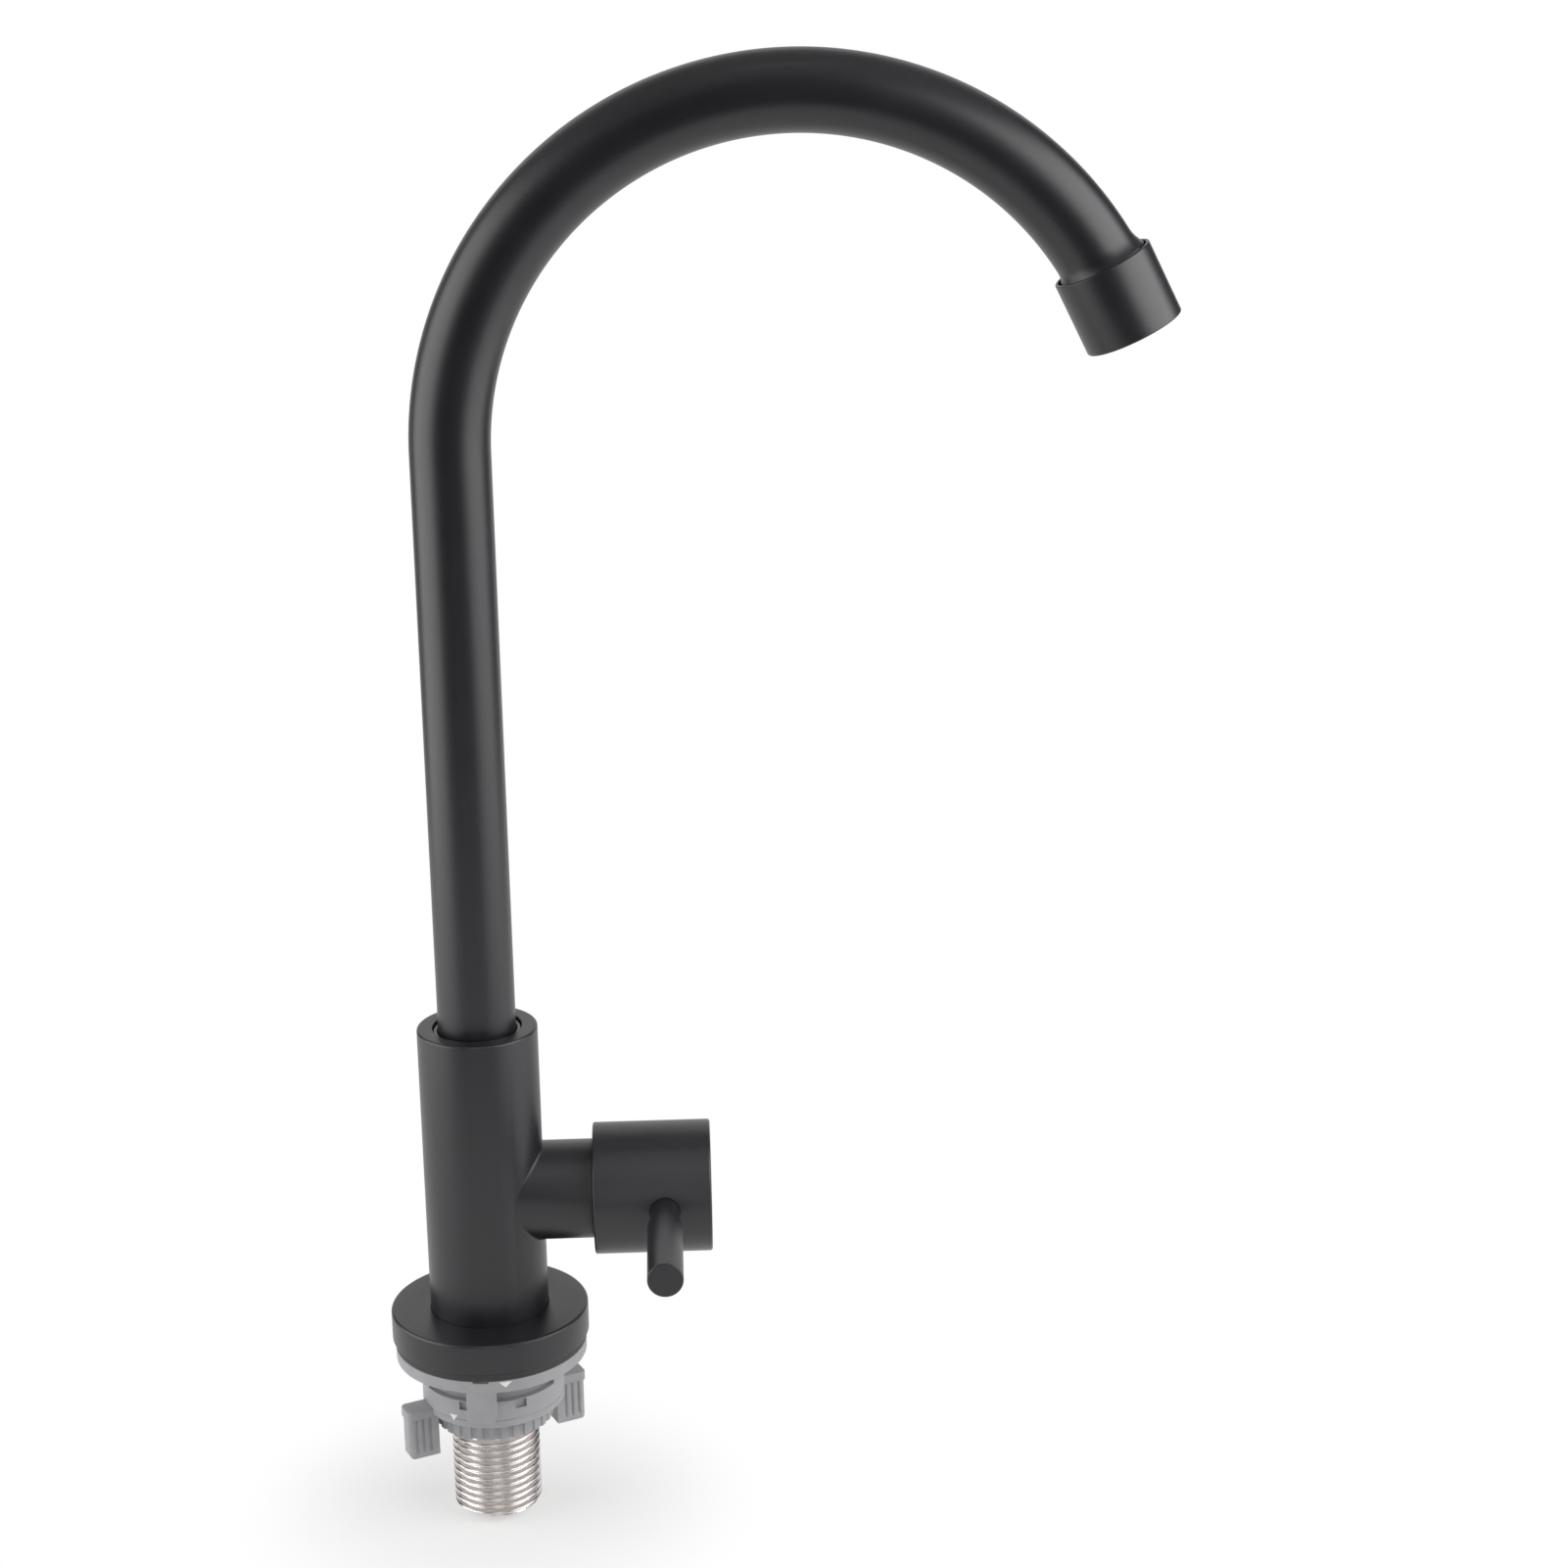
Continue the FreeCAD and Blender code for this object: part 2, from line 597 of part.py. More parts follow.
def make_spindle():
    """The spindle: a head that drives the moving disc, a sealed stem and a splined end."""
    head_end = SPINDLE_START + SPINDLE_HEAD_THICK
    clip_floor = SPINDLE_RADIUS - CLIP_BITE
    ring_floor = SPINDLE_RADIUS - 2 * SPINDLE_RING_SECTION - SEAT_GAP
    ring_half = SPINDLE_RING_SECTION + RUN_GAP
    clip_start = CARTRIDGE_FACE + RUN_GAP
    clip_end = clip_start + CLIP_THICK + 2 * SEAT_GAP
    stem = lathe(
        [
            (0, SPINDLE_START),
            (CARTRIDGE_BORE - 2 * RUN_GAP, SPINDLE_START),
            (CARTRIDGE_BORE - 2 * RUN_GAP, head_end),
            (SPINDLE_RADIUS, head_end),
            (SPINDLE_RADIUS, SPINDLE_RING_PLACE - ring_half),
            (ring_floor, SPINDLE_RING_PLACE - ring_half),
            (ring_floor, SPINDLE_RING_PLACE + ring_half),
            (SPINDLE_RADIUS, SPINDLE_RING_PLACE + ring_half),
            (SPINDLE_RADIUS, clip_start),
            (clip_floor, clip_start),
            (clip_floor, clip_end),
            (SPINDLE_RADIUS, clip_end),
            (SPINDLE_RADIUS, SPLINE_START),
            (0, SPLINE_START),
        ]
    )
    spline = prism(spline_outline(0), SPLINE_END - SPLINE_START, SPLINE_START)
    return to_branch(stem.fuse(spline).removeSplitter())


def spline_outline(gap):
    """The toothed outline that the spindle and the knob's socket share."""
    outline = []
    for i in range(2 * SPLINE_TEETH):
        radius = SPLINE_RADIUS + gap - (SPLINE_DEPTH if i % 2 else 0)
        angle = math.pi / SPLINE_TEETH * i
        outline.append((radius * math.cos(angle), radius * math.sin(angle)))
    return outline


def make_spindle_o_ring():
    radius = SPINDLE_RADIUS - SPINDLE_RING_SECTION
    return to_branch(seal_ring(radius, SPINDLE_RING_SECTION, SPINDLE_RING_PLACE))


def make_spindle_clip():
    """The split clip that keeps the spindle in the cartridge."""
    start = CARTRIDGE_FACE + RUN_GAP + SEAT_GAP
    clip = tube(CLIP_RADIUS, SPINDLE_RADIUS - CLIP_BITE + SEAT_GAP, start, start + CLIP_THICK)
    half = CLIP_OPENING / 2
    gap = wedge(CLIP_RADIUS + CUT, -half, half, start - CUT, start + CLIP_THICK + CUT)
    return to_branch(clip.cut(gap))


def across_knob(radius, near, far):
    """A cylinder across the knob at the lever's place, from near to far along -Y."""
    start = Vec(LEVER_PLACE, -near, BRANCH_LEVEL)
    return Part.makeCylinder(radius, far - near, start, Vec(0, -1, 0))


def make_knob():
    """The turned knob: a cup over the branch, a solid end with the spline and the cross holes."""
    knob = rod(KNOB_RADIUS, KNOB_START, KNOB_END).cut(rod(KNOB_CUP_RADIUS, KNOB_START, KNOB_CUP_FLOOR))
    rims = [(KNOB_START, KNOB_RADIUS), (KNOB_END, KNOB_RADIUS)]
    knob = fillet_circles(knob, KNOB_EDGE, rims)
    socket_end = SPLINE_END + SPLINE_SPACE
    knob = knob.cut(prism(spline_outline(RUN_GAP), socket_end - KNOB_CUP_FLOOR, KNOB_CUP_FLOOR))
    knob = to_branch(knob)
    floor = KNOB_RADIUS - LEVER_SOCKET
    knob = knob.cut(across_knob(LEVER_NECK_RADIUS + SEAT_GAP, floor, KNOB_RADIUS + CUT))
    knob = knob.cut(across_knob(LEVER_STUD_RADIUS + SEAT_GAP, floor - LEVER_STUD - STUD_SPACE, floor))
    return knob.cut(across_knob(GRUB_RADIUS + SEAT_GAP, -KNOB_RADIUS - CUT, 0))


def make_lever_pin():
    """The straight lever: a slim neck, a slightly thicker bar and a stud that screws in."""
    floor = KNOB_RADIUS - LEVER_SOCKET
    neck_end = KNOB_RADIUS + LEVER_NECK
    bar = lathe(
        [
            (0, floor - LEVER_STUD),
            (LEVER_STUD_RADIUS, floor - LEVER_STUD),
            (LEVER_STUD_RADIUS, floor),
            (LEVER_NECK_RADIUS, floor),
            (LEVER_NECK_RADIUS, neck_end),
            (LEVER_RADIUS, neck_end),
            (LEVER_RADIUS, LEVER_REACH - LEVER_CHAMFER),
            (LEVER_RADIUS - LEVER_CHAMFER, LEVER_REACH),
            (0, LEVER_REACH),
        ]
    )
    laid = turn_about(bar, 90, Vec(0, 0, 0), Vec(1, 0, 0))
    laid.translate(Vec(LEVER_PLACE, 0, BRANCH_LEVEL))
    return laid


def make_knob_grub_screw():
    """The socket screw behind the knob that locks it on the spline."""
    start = SPLINE_RADIUS + 2 * RUN_GAP
    screw = rod(GRUB_RADIUS, start, start + GRUB_LENGTH)
    depth = GRUB_LENGTH / 2
    screw = screw.cut(prism(hexagon(GRUB_HEX / math.sqrt(3)), depth, start + GRUB_LENGTH - depth))
    laid = turn_about(screw, -90, Vec(0, 0, 0), Vec(1, 0, 0))
    laid.translate(Vec(LEVER_PLACE, 0, BRANCH_LEVEL))
    return laid


def make_clamp_plate():
    """The loose top of the nut: a flat plate with hanging claws and a snap-in sleeve."""
    plate = tube(PLATE_RADIUS, PLATE_BORE, PLATE_BASE, PLATE_TOP)
    snap_end = PLATE_BASE - SNAP_DROP
    bead_top = snap_end + SNAP_BEAD_HEIGHT
    sleeve = lathe(
        [
            (PLATE_BORE, PLATE_BASE),
            (PLATE_BORE, snap_end),
            (SNAP_RADIUS, snap_end),
            (SNAP_RADIUS + SNAP_BEAD, bead_top),
            (SNAP_RADIUS, bead_top + SNAP_BEAD / 2),
            (SNAP_RADIUS, PLATE_BASE),
        ]
    )
    plate = plate.fuse(sleeve)
    rim = tube(PLATE_RADIUS, PLATE_RADIUS - CLAW_THICK, PLATE_BASE - CLAW_DROP, PLATE_BASE)
    for angle in CLAW_ANGLES:
        claw = rim.common(claw_outline())
        plate = plate.fuse(turn_about(claw, angle))
    for angle in CLAW_ANGLES:
        low = PLATE_TOP - NOTCH_HEIGHT
        notch = box_at(2 * NOTCH_DEPTH, NOTCH_WIDTH, NOTCH_HEIGHT + CUT, PLATE_RADIUS, 0, low)
        plate = plate.cut(turn_about(notch, angle))
    return plate.removeSplitter()


def claw_outline():
    """A claw seen from outside: straight sides and one slanted lower corner."""
    half = CLAW_WIDTH / 2
    low = PLATE_BASE - CLAW_DROP
    corners = [
        Vec(0, -half, PLATE_BASE),
        Vec(0, -half, low),
        Vec(0, half - CLAW_CHAMFER / 2, low),
        Vec(0, half, low + 2 * CLAW_CHAMFER),
        Vec(0, half, PLATE_BASE),
    ]
    return Part.Face(Part.makePolygon(corners + corners[:1])).extrude(Vec(PLATE_RADIUS + CUT, 0, 0))


def wing_profile(thick, root, reach, edge):
    """The footprint of a wing, with rounded outer corners."""
    half = thick / 2
    side = Part.LineSegment(Vec(root, -half, 0), Vec(reach - edge, -half, 0))
    diagonal = edge * math.sqrt(0.5)
    first = Part.Arc(
        Vec(reach - edge, -half, 0),
        Vec(reach - edge + diagonal, -half + edge - diagonal, 0),
        Vec(reach, -half + edge, 0),
    )
    end = Part.LineSegment(Vec(reach, -half + edge, 0), Vec(reach, half - edge, 0))
    second = Part.Arc(
        Vec(reach, half - edge, 0),
        Vec(reach - edge + diagonal, half - edge + diagonal, 0),
        Vec(reach - edge, half, 0),
    )
    back = Part.LineSegment(Vec(reach - edge, half, 0), Vec(root, half, 0))
    close = Part.LineSegment(Vec(root, half, 0), Vec(root, -half, 0))
    return Part.Face(Part.Wire([c.toShape() for c in (side, first, end, second, back, close)]))


def blade_side(reach, low, top, corner):
    """The blade of a wing seen from the side, with its outer lower corner rounded."""
    flat = reach - corner
    diagonal = corner * math.sqrt(0.5)
    foot = Part.LineSegment(Vec(0, 0, low), Vec(flat, 0, low))
    turn = Part.Arc(
        Vec(flat, 0, low),
        Vec(flat + diagonal, 0, low + corner - diagonal),
        Vec(reach, 0, low + corner),
    )
    end = Part.LineSegment(Vec(reach, 0, low + corner), Vec(reach, 0, top))
    back = Part.LineSegment(Vec(reach, 0, top), Vec(0, 0, top))
    close = Part.LineSegment(Vec(0, 0, top), Vec(0, 0, low))
    return Part.Face(Part.Wire([c.toShape() for c in (foot, turn, end, back, close)]))


def make_wing():
    """One wing along +X: a plain slab on top and a fluted blade that hangs below it."""
    slab = wing_profile(WING_THICK, WING_ROOT, WING_REACH, WING_EDGE).extrude(Vec(0, 0, -WING_SLAB))
    slab.translate(Vec(0, 0, -WING_TOP))
    inner_thick = WING_THICK - 2 * WING_INSET
    inner_reach = WING_REACH - WING_INSET
    blade_top = -WING_TOP - WING_SLAB
    blade = wing_profile(inner_thick, WING_ROOT, inner_reach, WING_EDGE)
    blade.translate(Vec(0, 0, -WING_BOTTOM))
    blade = blade.extrude(Vec(0, 0, blade_top + WING_BOTTOM))
    side = blade_side(inner_reach, -WING_BOTTOM, blade_top, WING_CORNER)
    side.translate(Vec(0, -inner_thick, 0))
    blade = blade.common(side.extrude(Vec(0, 2 * inner_thick, 0)))
    flutes = []
    for side in (-1, 1):
        for i in range(FLUTE_COUNT):
            flute = rod(FLUTE_RADIUS, FLUTE_STOP - WING_BOTTOM, blade_top)
            flute = flute.fuse(Part.makeSphere(FLUTE_RADIUS, Vec(0, 0, FLUTE_STOP - WING_BOTTOM)))
            flute.translate(Vec(FLUTE_START + FLUTE_PITCH * i, side * inner_thick / 2, 0))
            flutes.append(flute)
    return slab.fuse(blade.cut(Part.makeCompound(flutes)))


def make_wing_ring():
    """The nut's turning part: neck, side walls, ring with windows and two wings."""
    neck_top = PLATE_BASE - SNAP_CLEAR
    bead_top = PLATE_BASE - SNAP_DROP + SNAP_BEAD_HEIGHT
    bore = SNAP_RADIUS + SNAP_CLEAR
    ring = rod(RING_RADIUS, -RING_BOTTOM, -RING_TOP)
    picks = [(-RING_BOTTOM, RING_RADIUS), (-RING_TOP, RING_RADIUS)]
    ring = fillet_circles(ring, RING_EDGE, picks)
    ring = ring.fuse(rod(RING_NECK_RADIUS, -RING_TOP, neck_top))
    for middle in (0, 180):
        half = RING_WALL_ANGLE
        wall = wedge(RING_RADIUS, middle - half, middle + half, -RING_TOP - RING_EDGE, neck_top)
        ring = ring.fuse(wall)
    for turn in (0, 180):
        ring = ring.fuse(turn_about(make_wing(), WING_ANGLE + turn))
    groove_low = bead_top - SNAP_BEAD_HEIGHT - SNAP_CLEAR
    groove_top = bead_top + SNAP_BEAD + SNAP_CLEAR
    ring = ring.cut(rod(bore, groove_low, neck_top + CUT))
    ring = ring.cut(rod(bore + SNAP_BEAD, groove_low, groove_top))
    ring = ring.cut(rod(COLLET_SPIGOT + SEAT_GAP, -RING_BOTTOM - CUT, groove_low))
    for angle in WINDOW_ANGLES:
        low = -RING_WINDOW_DROP - RING_WINDOW_HEIGHT / 2
        window = box_at(
            2 * RING_WINDOW_DEPTH, RING_WINDOW_WIDTH, RING_WINDOW_HEIGHT, RING_RADIUS, 0, low
        )
        ring = ring.cut(turn_about(window, angle))
    return ring.removeSplitter()


def make_thread_collet():
    """The ribbed split collet that grips the thread inside the wing ring."""
    bore = THREAD_RADIUS + THREAD_GAP
    collet = lathe(
        [
            (bore, -COLLET_BOTTOM),
            (COLLET_RADIUS, -COLLET_BOTTOM),
            (COLLET_RADIUS, -RING_BOTTOM),
            (COLLET_SPIGOT, -RING_BOTTOM),
            (COLLET_SPIGOT, -COLLET_TOP),
            (bore, -COLLET_TOP),
        ]
    )
    height = COLLET_BOTTOM - RING_BOTTOM
    for i in range(COLLET_RIBS):
        rib = box_at(
            2 * COLLET_RIB_HEIGHT, COLLET_RIB_WIDTH, height, COLLET_RADIUS, 0, -COLLET_BOTTOM
        )
        collet = collet.fuse(turn_about(rib, 360 / COLLET_RIBS * (i + 0.5)))
    for i in range(COLLET_SLITS):
        slit = box_at(COLLET_RADIUS, SLIT_WIDTH, height - SLIT_END, COLLET_RADIUS, 0, -COLLET_BOTTOM)
        collet = collet.cut(turn_about(slit, 360 / COLLET_SLITS * i))
    return collet.removeSplitter()


def export(name, shape):
    """Checks a sub-part and writes it."""
    if not shape.isValid() or not shape.Solids:
        raise ValueError(name + " is not a valid solid")
    shape.exportStep("parts/" + name + ".step")
    print(name, "solids", len(shape.Solids), "volume", round(shape.Volume, 2))


PIECES = {
    "base_gasket": make_base_gasket,
    "base_flange": make_base_flange,
    "valve_body": make_valve_body,
    "threaded_shank": make_threaded_shank,
    "shank_o_ring": make_shank_o_ring,
    "spout_tube": make_spout_tube,
    "spout_base_sleeve": make_spout_base_sleeve,
    "spout_o_ring_lower": lambda: make_spout_seal(SEAL_STEPS[0]),
    "spout_o_ring_upper": lambda: make_spout_seal(SEAL_STEPS[1]),
    "spout_keeper_ring": make_spout_keeper_ring,
    "spout_top_bush": make_spout_top_bush,
    "aerator_collar": make_aerator_collar,
    "aerator_washer": make_aerator_washer,
    "aerator_core": make_aerator_core,
    "aerator_screen": make_aerator_screen,
    "cartridge_body": make_cartridge_body,
    "cartridge_o_ring": make_cartridge_o_ring,
    "seat_seal": make_seat_seal,
    "ceramic_disc_fixed": lambda: to_branch(make_disc(FIXED_DISC_START, DISC_FIXED_THICK)),
    "ceramic_disc_moving": lambda: to_branch(make_disc(MOVING_DISC_START, DISC_MOVING_THICK)),
    "spindle": make_spindle,
    "spindle_o_ring": make_spindle_o_ring,
    "spindle_clip": make_spindle_clip,
    "knob": make_knob,
    "lever_pin": make_lever_pin,
    "knob_grub_screw": make_knob_grub_screw,
    "clamp_plate": make_clamp_plate,
    "wing_ring": make_wing_ring,
    "thread_collet": make_thread_collet,
}

os.makedirs("parts", exist_ok=True)
for piece_name, make_piece in PIECES.items():
    export(piece_name, make_piece())
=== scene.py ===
# %% [markdown]
# A matte black kitchen tap, dressed for a product picture.
#
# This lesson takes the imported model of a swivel-spout tap as a fixed frame and gives each visible
# piece its finished surface: powder-coated brass, a moulded grey wing nut, a plated thread.
# The frame says where every piece sits; the lesson only decides how it looks.

# %% Load the frame
import json
import math

import bmesh
import bpy
from mathutils import Matrix, Vector


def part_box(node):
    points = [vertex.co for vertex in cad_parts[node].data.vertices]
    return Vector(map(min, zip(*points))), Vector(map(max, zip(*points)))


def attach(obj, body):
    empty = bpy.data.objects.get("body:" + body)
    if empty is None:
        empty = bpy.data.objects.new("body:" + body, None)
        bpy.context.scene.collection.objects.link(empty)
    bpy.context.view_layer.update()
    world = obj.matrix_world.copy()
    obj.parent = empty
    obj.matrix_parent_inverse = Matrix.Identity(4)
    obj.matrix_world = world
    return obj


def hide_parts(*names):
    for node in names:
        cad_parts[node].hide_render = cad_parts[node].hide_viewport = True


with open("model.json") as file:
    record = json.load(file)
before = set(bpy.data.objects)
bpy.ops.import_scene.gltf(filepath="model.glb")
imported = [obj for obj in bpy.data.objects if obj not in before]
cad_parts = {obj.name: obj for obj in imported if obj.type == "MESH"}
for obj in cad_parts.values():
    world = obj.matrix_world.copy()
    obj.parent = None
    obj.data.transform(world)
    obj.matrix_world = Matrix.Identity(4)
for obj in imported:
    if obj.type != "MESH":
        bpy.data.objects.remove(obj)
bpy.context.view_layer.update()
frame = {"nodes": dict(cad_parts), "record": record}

print("nodes:", len(frame["nodes"]))

# %% [markdown]
# The tap is drawn in millimetres, as its makers would, and Blender works in metres.
# Sizes that the frame's boxes can tell are read from them, so the dressed pieces stay on the
# model. Those that a box can't show, such as a wall or a bore, are written down once, in the cell
# that first needs them.

# %% Read the main sizes from the frame
MM = 0.001


def low(node, axis):
    """The lowest coordinate of a node in millimetres along axis 0, 1 or 2."""
    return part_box(node)[0][axis] / MM


def high(node, axis):
    """The highest coordinate of a node in millimetres along axis 0, 1 or 2."""
    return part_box(node)[1][axis] / MM


body_radius = high("valve_body", 1)
body_base, body_top = low("valve_body", 2), high("valve_body", 2)
branch_level = (low("knob", 2) + high("knob", 2)) / 2
branch_reach = high("valve_body", 0)
knob_radius = (high("knob", 2) - low("knob", 2)) / 2
knob_start, knob_end = low("knob", 0), high("knob", 0)
lever_place = (low("lever_pin", 0) + high("lever_pin", 0)) / 2
lever_radius = (high("lever_pin", 0) - low("lever_pin", 0)) / 2
lever_reach = -low("lever_pin", 1)
flange_radius = high("base_flange", 1)
flange_base, flange_top = low("base_flange", 2), high("base_flange", 2)
gasket_radius = high("base_gasket", 1)
collar_radius = high("aerator_collar", 1)
tail_foot = low("threaded_shank", 2)
plate_radius = high("clamp_plate", 0)
plate_top = high("clamp_plate", 2)
claw_foot = low("clamp_plate", 2)
wing_foot, ring_top = low("wing_ring", 2), high("wing_ring", 2)
collet_foot = low("thread_collet", 2)
print("body", round(body_radius, 2), "knob", round(knob_radius, 2), "branch level", round(branch_level, 2))

# %% [markdown]
# The spout's path is a straight rise and one round bend. Its radius and the angle of the bend
# fix the whole gooseneck, so these two are written down and the rest follows from them.

# %% Path of the gooseneck
spout_radius = 9.0
spout_wall = 0.9
bend_radius = 76.5
bend_sweep = math.radians(154)
bend_level = high("spout_tube", 2) - bend_radius - spout_radius
tube_foot = low("spout_tube", 2)
thread_crest = high("threaded_shank", 0)
thread_pitch = 25.4 / 14


def bend_point(angle):
    """A point of the centre line after that much of the bend, in millimetres."""
    height = bend_level + bend_radius * math.sin(angle)
    return Vector((bend_radius * (1 - math.cos(angle)), 0, height))


outlet = bend_point(bend_sweep)
print("bend starts at", round(bend_level, 1), "outlet at", [round(c, 1) for c in outlet])

# %% [markdown]
# The camera comes first, because every later choice is judged through it.
# Its place, tilt and focal length were found by matching the outlines of tube, body, knob and
# thread in the photograph. The picture is square, and its focal length is known in pixels.

# %% Camera
PICTURE = 1601
FILM_WIDTH = 36
focal_pixels = 3135.7
camera_place = Vector((48.08, -667.64, 334.35))
camera_turn = math.radians(-2.05)
camera_tilt = math.radians(16.55)
camera_roll = math.radians(-0.93)


def make_camera():
    """A camera that looks down on the tap from the front, as in the photograph."""
    data = bpy.data.cameras.new("view_camera")
    data.sensor_fit = "HORIZONTAL"
    data.sensor_width = FILM_WIDTH
    data.lens = focal_pixels / PICTURE * FILM_WIDTH
    camera = bpy.data.objects.new("view_camera", data)
    turn = Matrix.Rotation(camera_turn, 4, "Z") @ Matrix.Rotation(math.pi / 2 - camera_tilt, 4, "X")
    turn = turn @ Matrix.Rotation(camera_roll, 4, "Z")
    camera.matrix_world = Matrix.Translation(camera_place * MM) @ turn
    bpy.context.scene.collection.objects.link(camera)
    bpy.context.scene.camera = camera
    return camera


camera = make_camera()
print("lens", round(camera.data.lens, 2), "mm")

# %% [markdown]
# Colours are given as they look on a screen, in sRGB hex. Shaders work in linear light, so one
# function turns the one into the other. A second small function adds a shader node with its
# settings and links, and a third works out a pattern's scale from its real size. Two more start a
# material and let patterns vary its colour, gloss and surface. A mix node has sockets of the same
# name for numbers and for colours, so the colours go by number.

# %% Colour and node helpers
COLOUR_A, COLOUR_B, MIXED_COLOUR = 6, 7, 2


def linear(hex_colour):
    """An sRGB hex colour as a linear RGBA tuple."""
    parts = [int(hex_colour[i : i + 2], 16) / 255 for i in (1, 3, 5)]
    return tuple(c / 12.92 if c < 0.04045 else ((c + 0.055) / 1.055) ** 2.4 for c in parts) + (1.0,)


def add(tree, kind, settings, sockets, output=0, into=None):
    """Adds a node and gives back one of its outputs, linked on to a socket where one is named.

    A socket of the new node, called by its name or number, takes a value or another's output.
    """
    node = tree.nodes.new(kind)
    for key, value in settings.items():
        setattr(node, key, value)
    for key, value in sockets.items():
        if isinstance(value, bpy.types.NodeSocket):
            tree.links.new(value, node.inputs[key])
        else:
            node.inputs[key].default_value = value
    result = node.outputs[output]
    if into:
        tree.links.new(result, into)
    return result


def per_mm(size):
    """The scale of a texture whose features are that many millimetres apart."""
    return 1 / (size * MM)


def new_material(name, hex_colour, roughness, metallic=0.0, ior=1.5):
    """A named material with its shader, and the object coordinates that its patterns use."""
    material = bpy.data.materials.new(name)
    material.use_nodes = True
    tree = material.node_tree
    shader = tree.nodes["Principled BSDF"]
    shader.inputs["Base Color"].default_value = linear(hex_colour)
    shader.inputs["Roughness"].default_value = roughness
    shader.inputs["Metallic"].default_value = metallic
    shader.inputs["IOR"].default_value = ior
    material.diffuse_color = linear(hex_colour)
    place = add(tree, "ShaderNodeTexCoord", {}, {}, "Object")
    return material, tree, shader.inputs, place


def vary(tree, surface, colour, gloss, relief):
    """Lets patterns change a material a little.

    The colour is a pattern with two hex colours, the gloss one with two roughnesses, and the
    relief one with its strength and its depth in millimetres.
    """
    pattern, dark, light = colour
    add(
        tree, "ShaderNodeMix", {"data_type": "RGBA"},
        {"Factor": pattern, COLOUR_A: linear(dark), COLOUR_B: linear(light)},
        MIXED_COLOUR, surface["Base Color"],
    )
    pattern, smooth, rough = gloss
    add(
        tree, "ShaderNodeMapRange", {}, {"Value": pattern, "To Min": smooth, "To Max": rough},
        0, surface["Roughness"],
    )
    pattern, strength, depth_mm = relief
    add(
        tree, "ShaderNodeBump", {},
        {"Strength": strength, "Distance": depth_mm * MM, "Height": pattern}, 0, surface["Normal"],
    )


print("linear mid grey:", [round(c, 3) for c in linear("#808080")])

# %% [markdown]
# Powder coat on brass: satin black paint, sprayed as powder and baked. It flows into a faint
# orange peel, about half a millimetre from bump to bump, and the pigment shows as a very fine
# speckle. The eye reads it as soft, with broad highlights and no mirror image. Baked polyester
# has an index near 1.55. The peel is drawn slightly coarser than life, or it would not show.

# %% Powder coat
peel_mm, speckle_mm, cloud_mm = 0.9, 0.28, 22
peel_depth_mm = 0.012


def powder_coat():
    """Satin black paint with orange peel, speckled pigment and a slow change of gloss."""
    material, tree, surface, place = new_material(
        "satin_black_powder_coat", "#1f1d22", 0.37, ior=1.55
    )
    peel = add(
        tree, "ShaderNodeTexNoise", {}, {"Vector": place, "Scale": per_mm(peel_mm), "Detail": 3.0}
    )
    speckle = add(
        tree, "ShaderNodeTexNoise", {}, {"Vector": place, "Scale": per_mm(speckle_mm), "Detail": 2.0}
    )
    cloud = add(
        tree, "ShaderNodeTexNoise", {}, {"Vector": place, "Scale": per_mm(cloud_mm), "Detail": 3.0}
    )
    tint = add(tree, "ShaderNodeMath", {"operation": "MULTIPLY"}, {0: speckle, 1: cloud})
    bumps = add(tree, "ShaderNodeMath", {"operation": "MULTIPLY_ADD"}, {0: speckle, 1: 0.5, 2: peel})
    vary(
        tree, surface, colour=(tint, "#1a181c", "#28262c"),
        gloss=(cloud, 0.33, 0.42), relief=(bumps, 0.35, peel_depth_mm),
    )
    return material


black_coat = powder_coat()
print("made", black_coat.name)

# %% [markdown]
# Glass-filled nylon: the wing nut is moulded in grey. The mould is spark-eroded, which leaves a
# fine matt grain, and the fibres cloud the colour a little where the melt flowed. It scatters
# light just under its surface, so its shadows look soft.

# %% Grey nylon
spark_grain_mm, spark_depth_mm, melt_flow_mm, scatter_mm = 0.35, 0.02, 7, 0.6


def grey_nylon():
    """Moulded grey plastic with a matt grain, clouded along the flow of the melt."""
    material, tree, surface, place = new_material("moulded_grey_nylon", "#a5a4a7", 0.46, ior=1.53)
    grain = add(
        tree, "ShaderNodeTexNoise", {},
        {"Vector": place, "Scale": per_mm(spark_grain_mm), "Detail": 2.0},
    )
    flow = add(
        tree, "ShaderNodeTexNoise", {},
        {"Vector": place, "Scale": per_mm(melt_flow_mm), "Detail": 4.0, "Distortion": 1.2},
    )
    vary(
        tree, surface, colour=(flow, "#9a999d", "#b0afb2"),
        gloss=(flow, 0.4, 0.54), relief=(grain, 0.4, spark_depth_mm),
    )
    surface["Subsurface Weight"].default_value = 0.12
    surface["Subsurface Radius"].default_value = (1.0, 1.0, 1.0)
    surface["Subsurface Scale"].default_value = scatter_mm * MM
    return material


grey_moulding = grey_nylon()
print("made", grey_moulding.name)

# %% [markdown]
# Nickel plate on a rolled brass thread: a warm, bright metal. Plating follows the rolled
# surface, so it is nearly smooth, with faint lines drawn round the axis by the rolling dies.

# %% Nickel plate
die_line_mm, die_line_depth_mm, stain_mm = 0.2, 0.006, 3.5
die_line_stretch = (0.08, 0.08, 1.0)


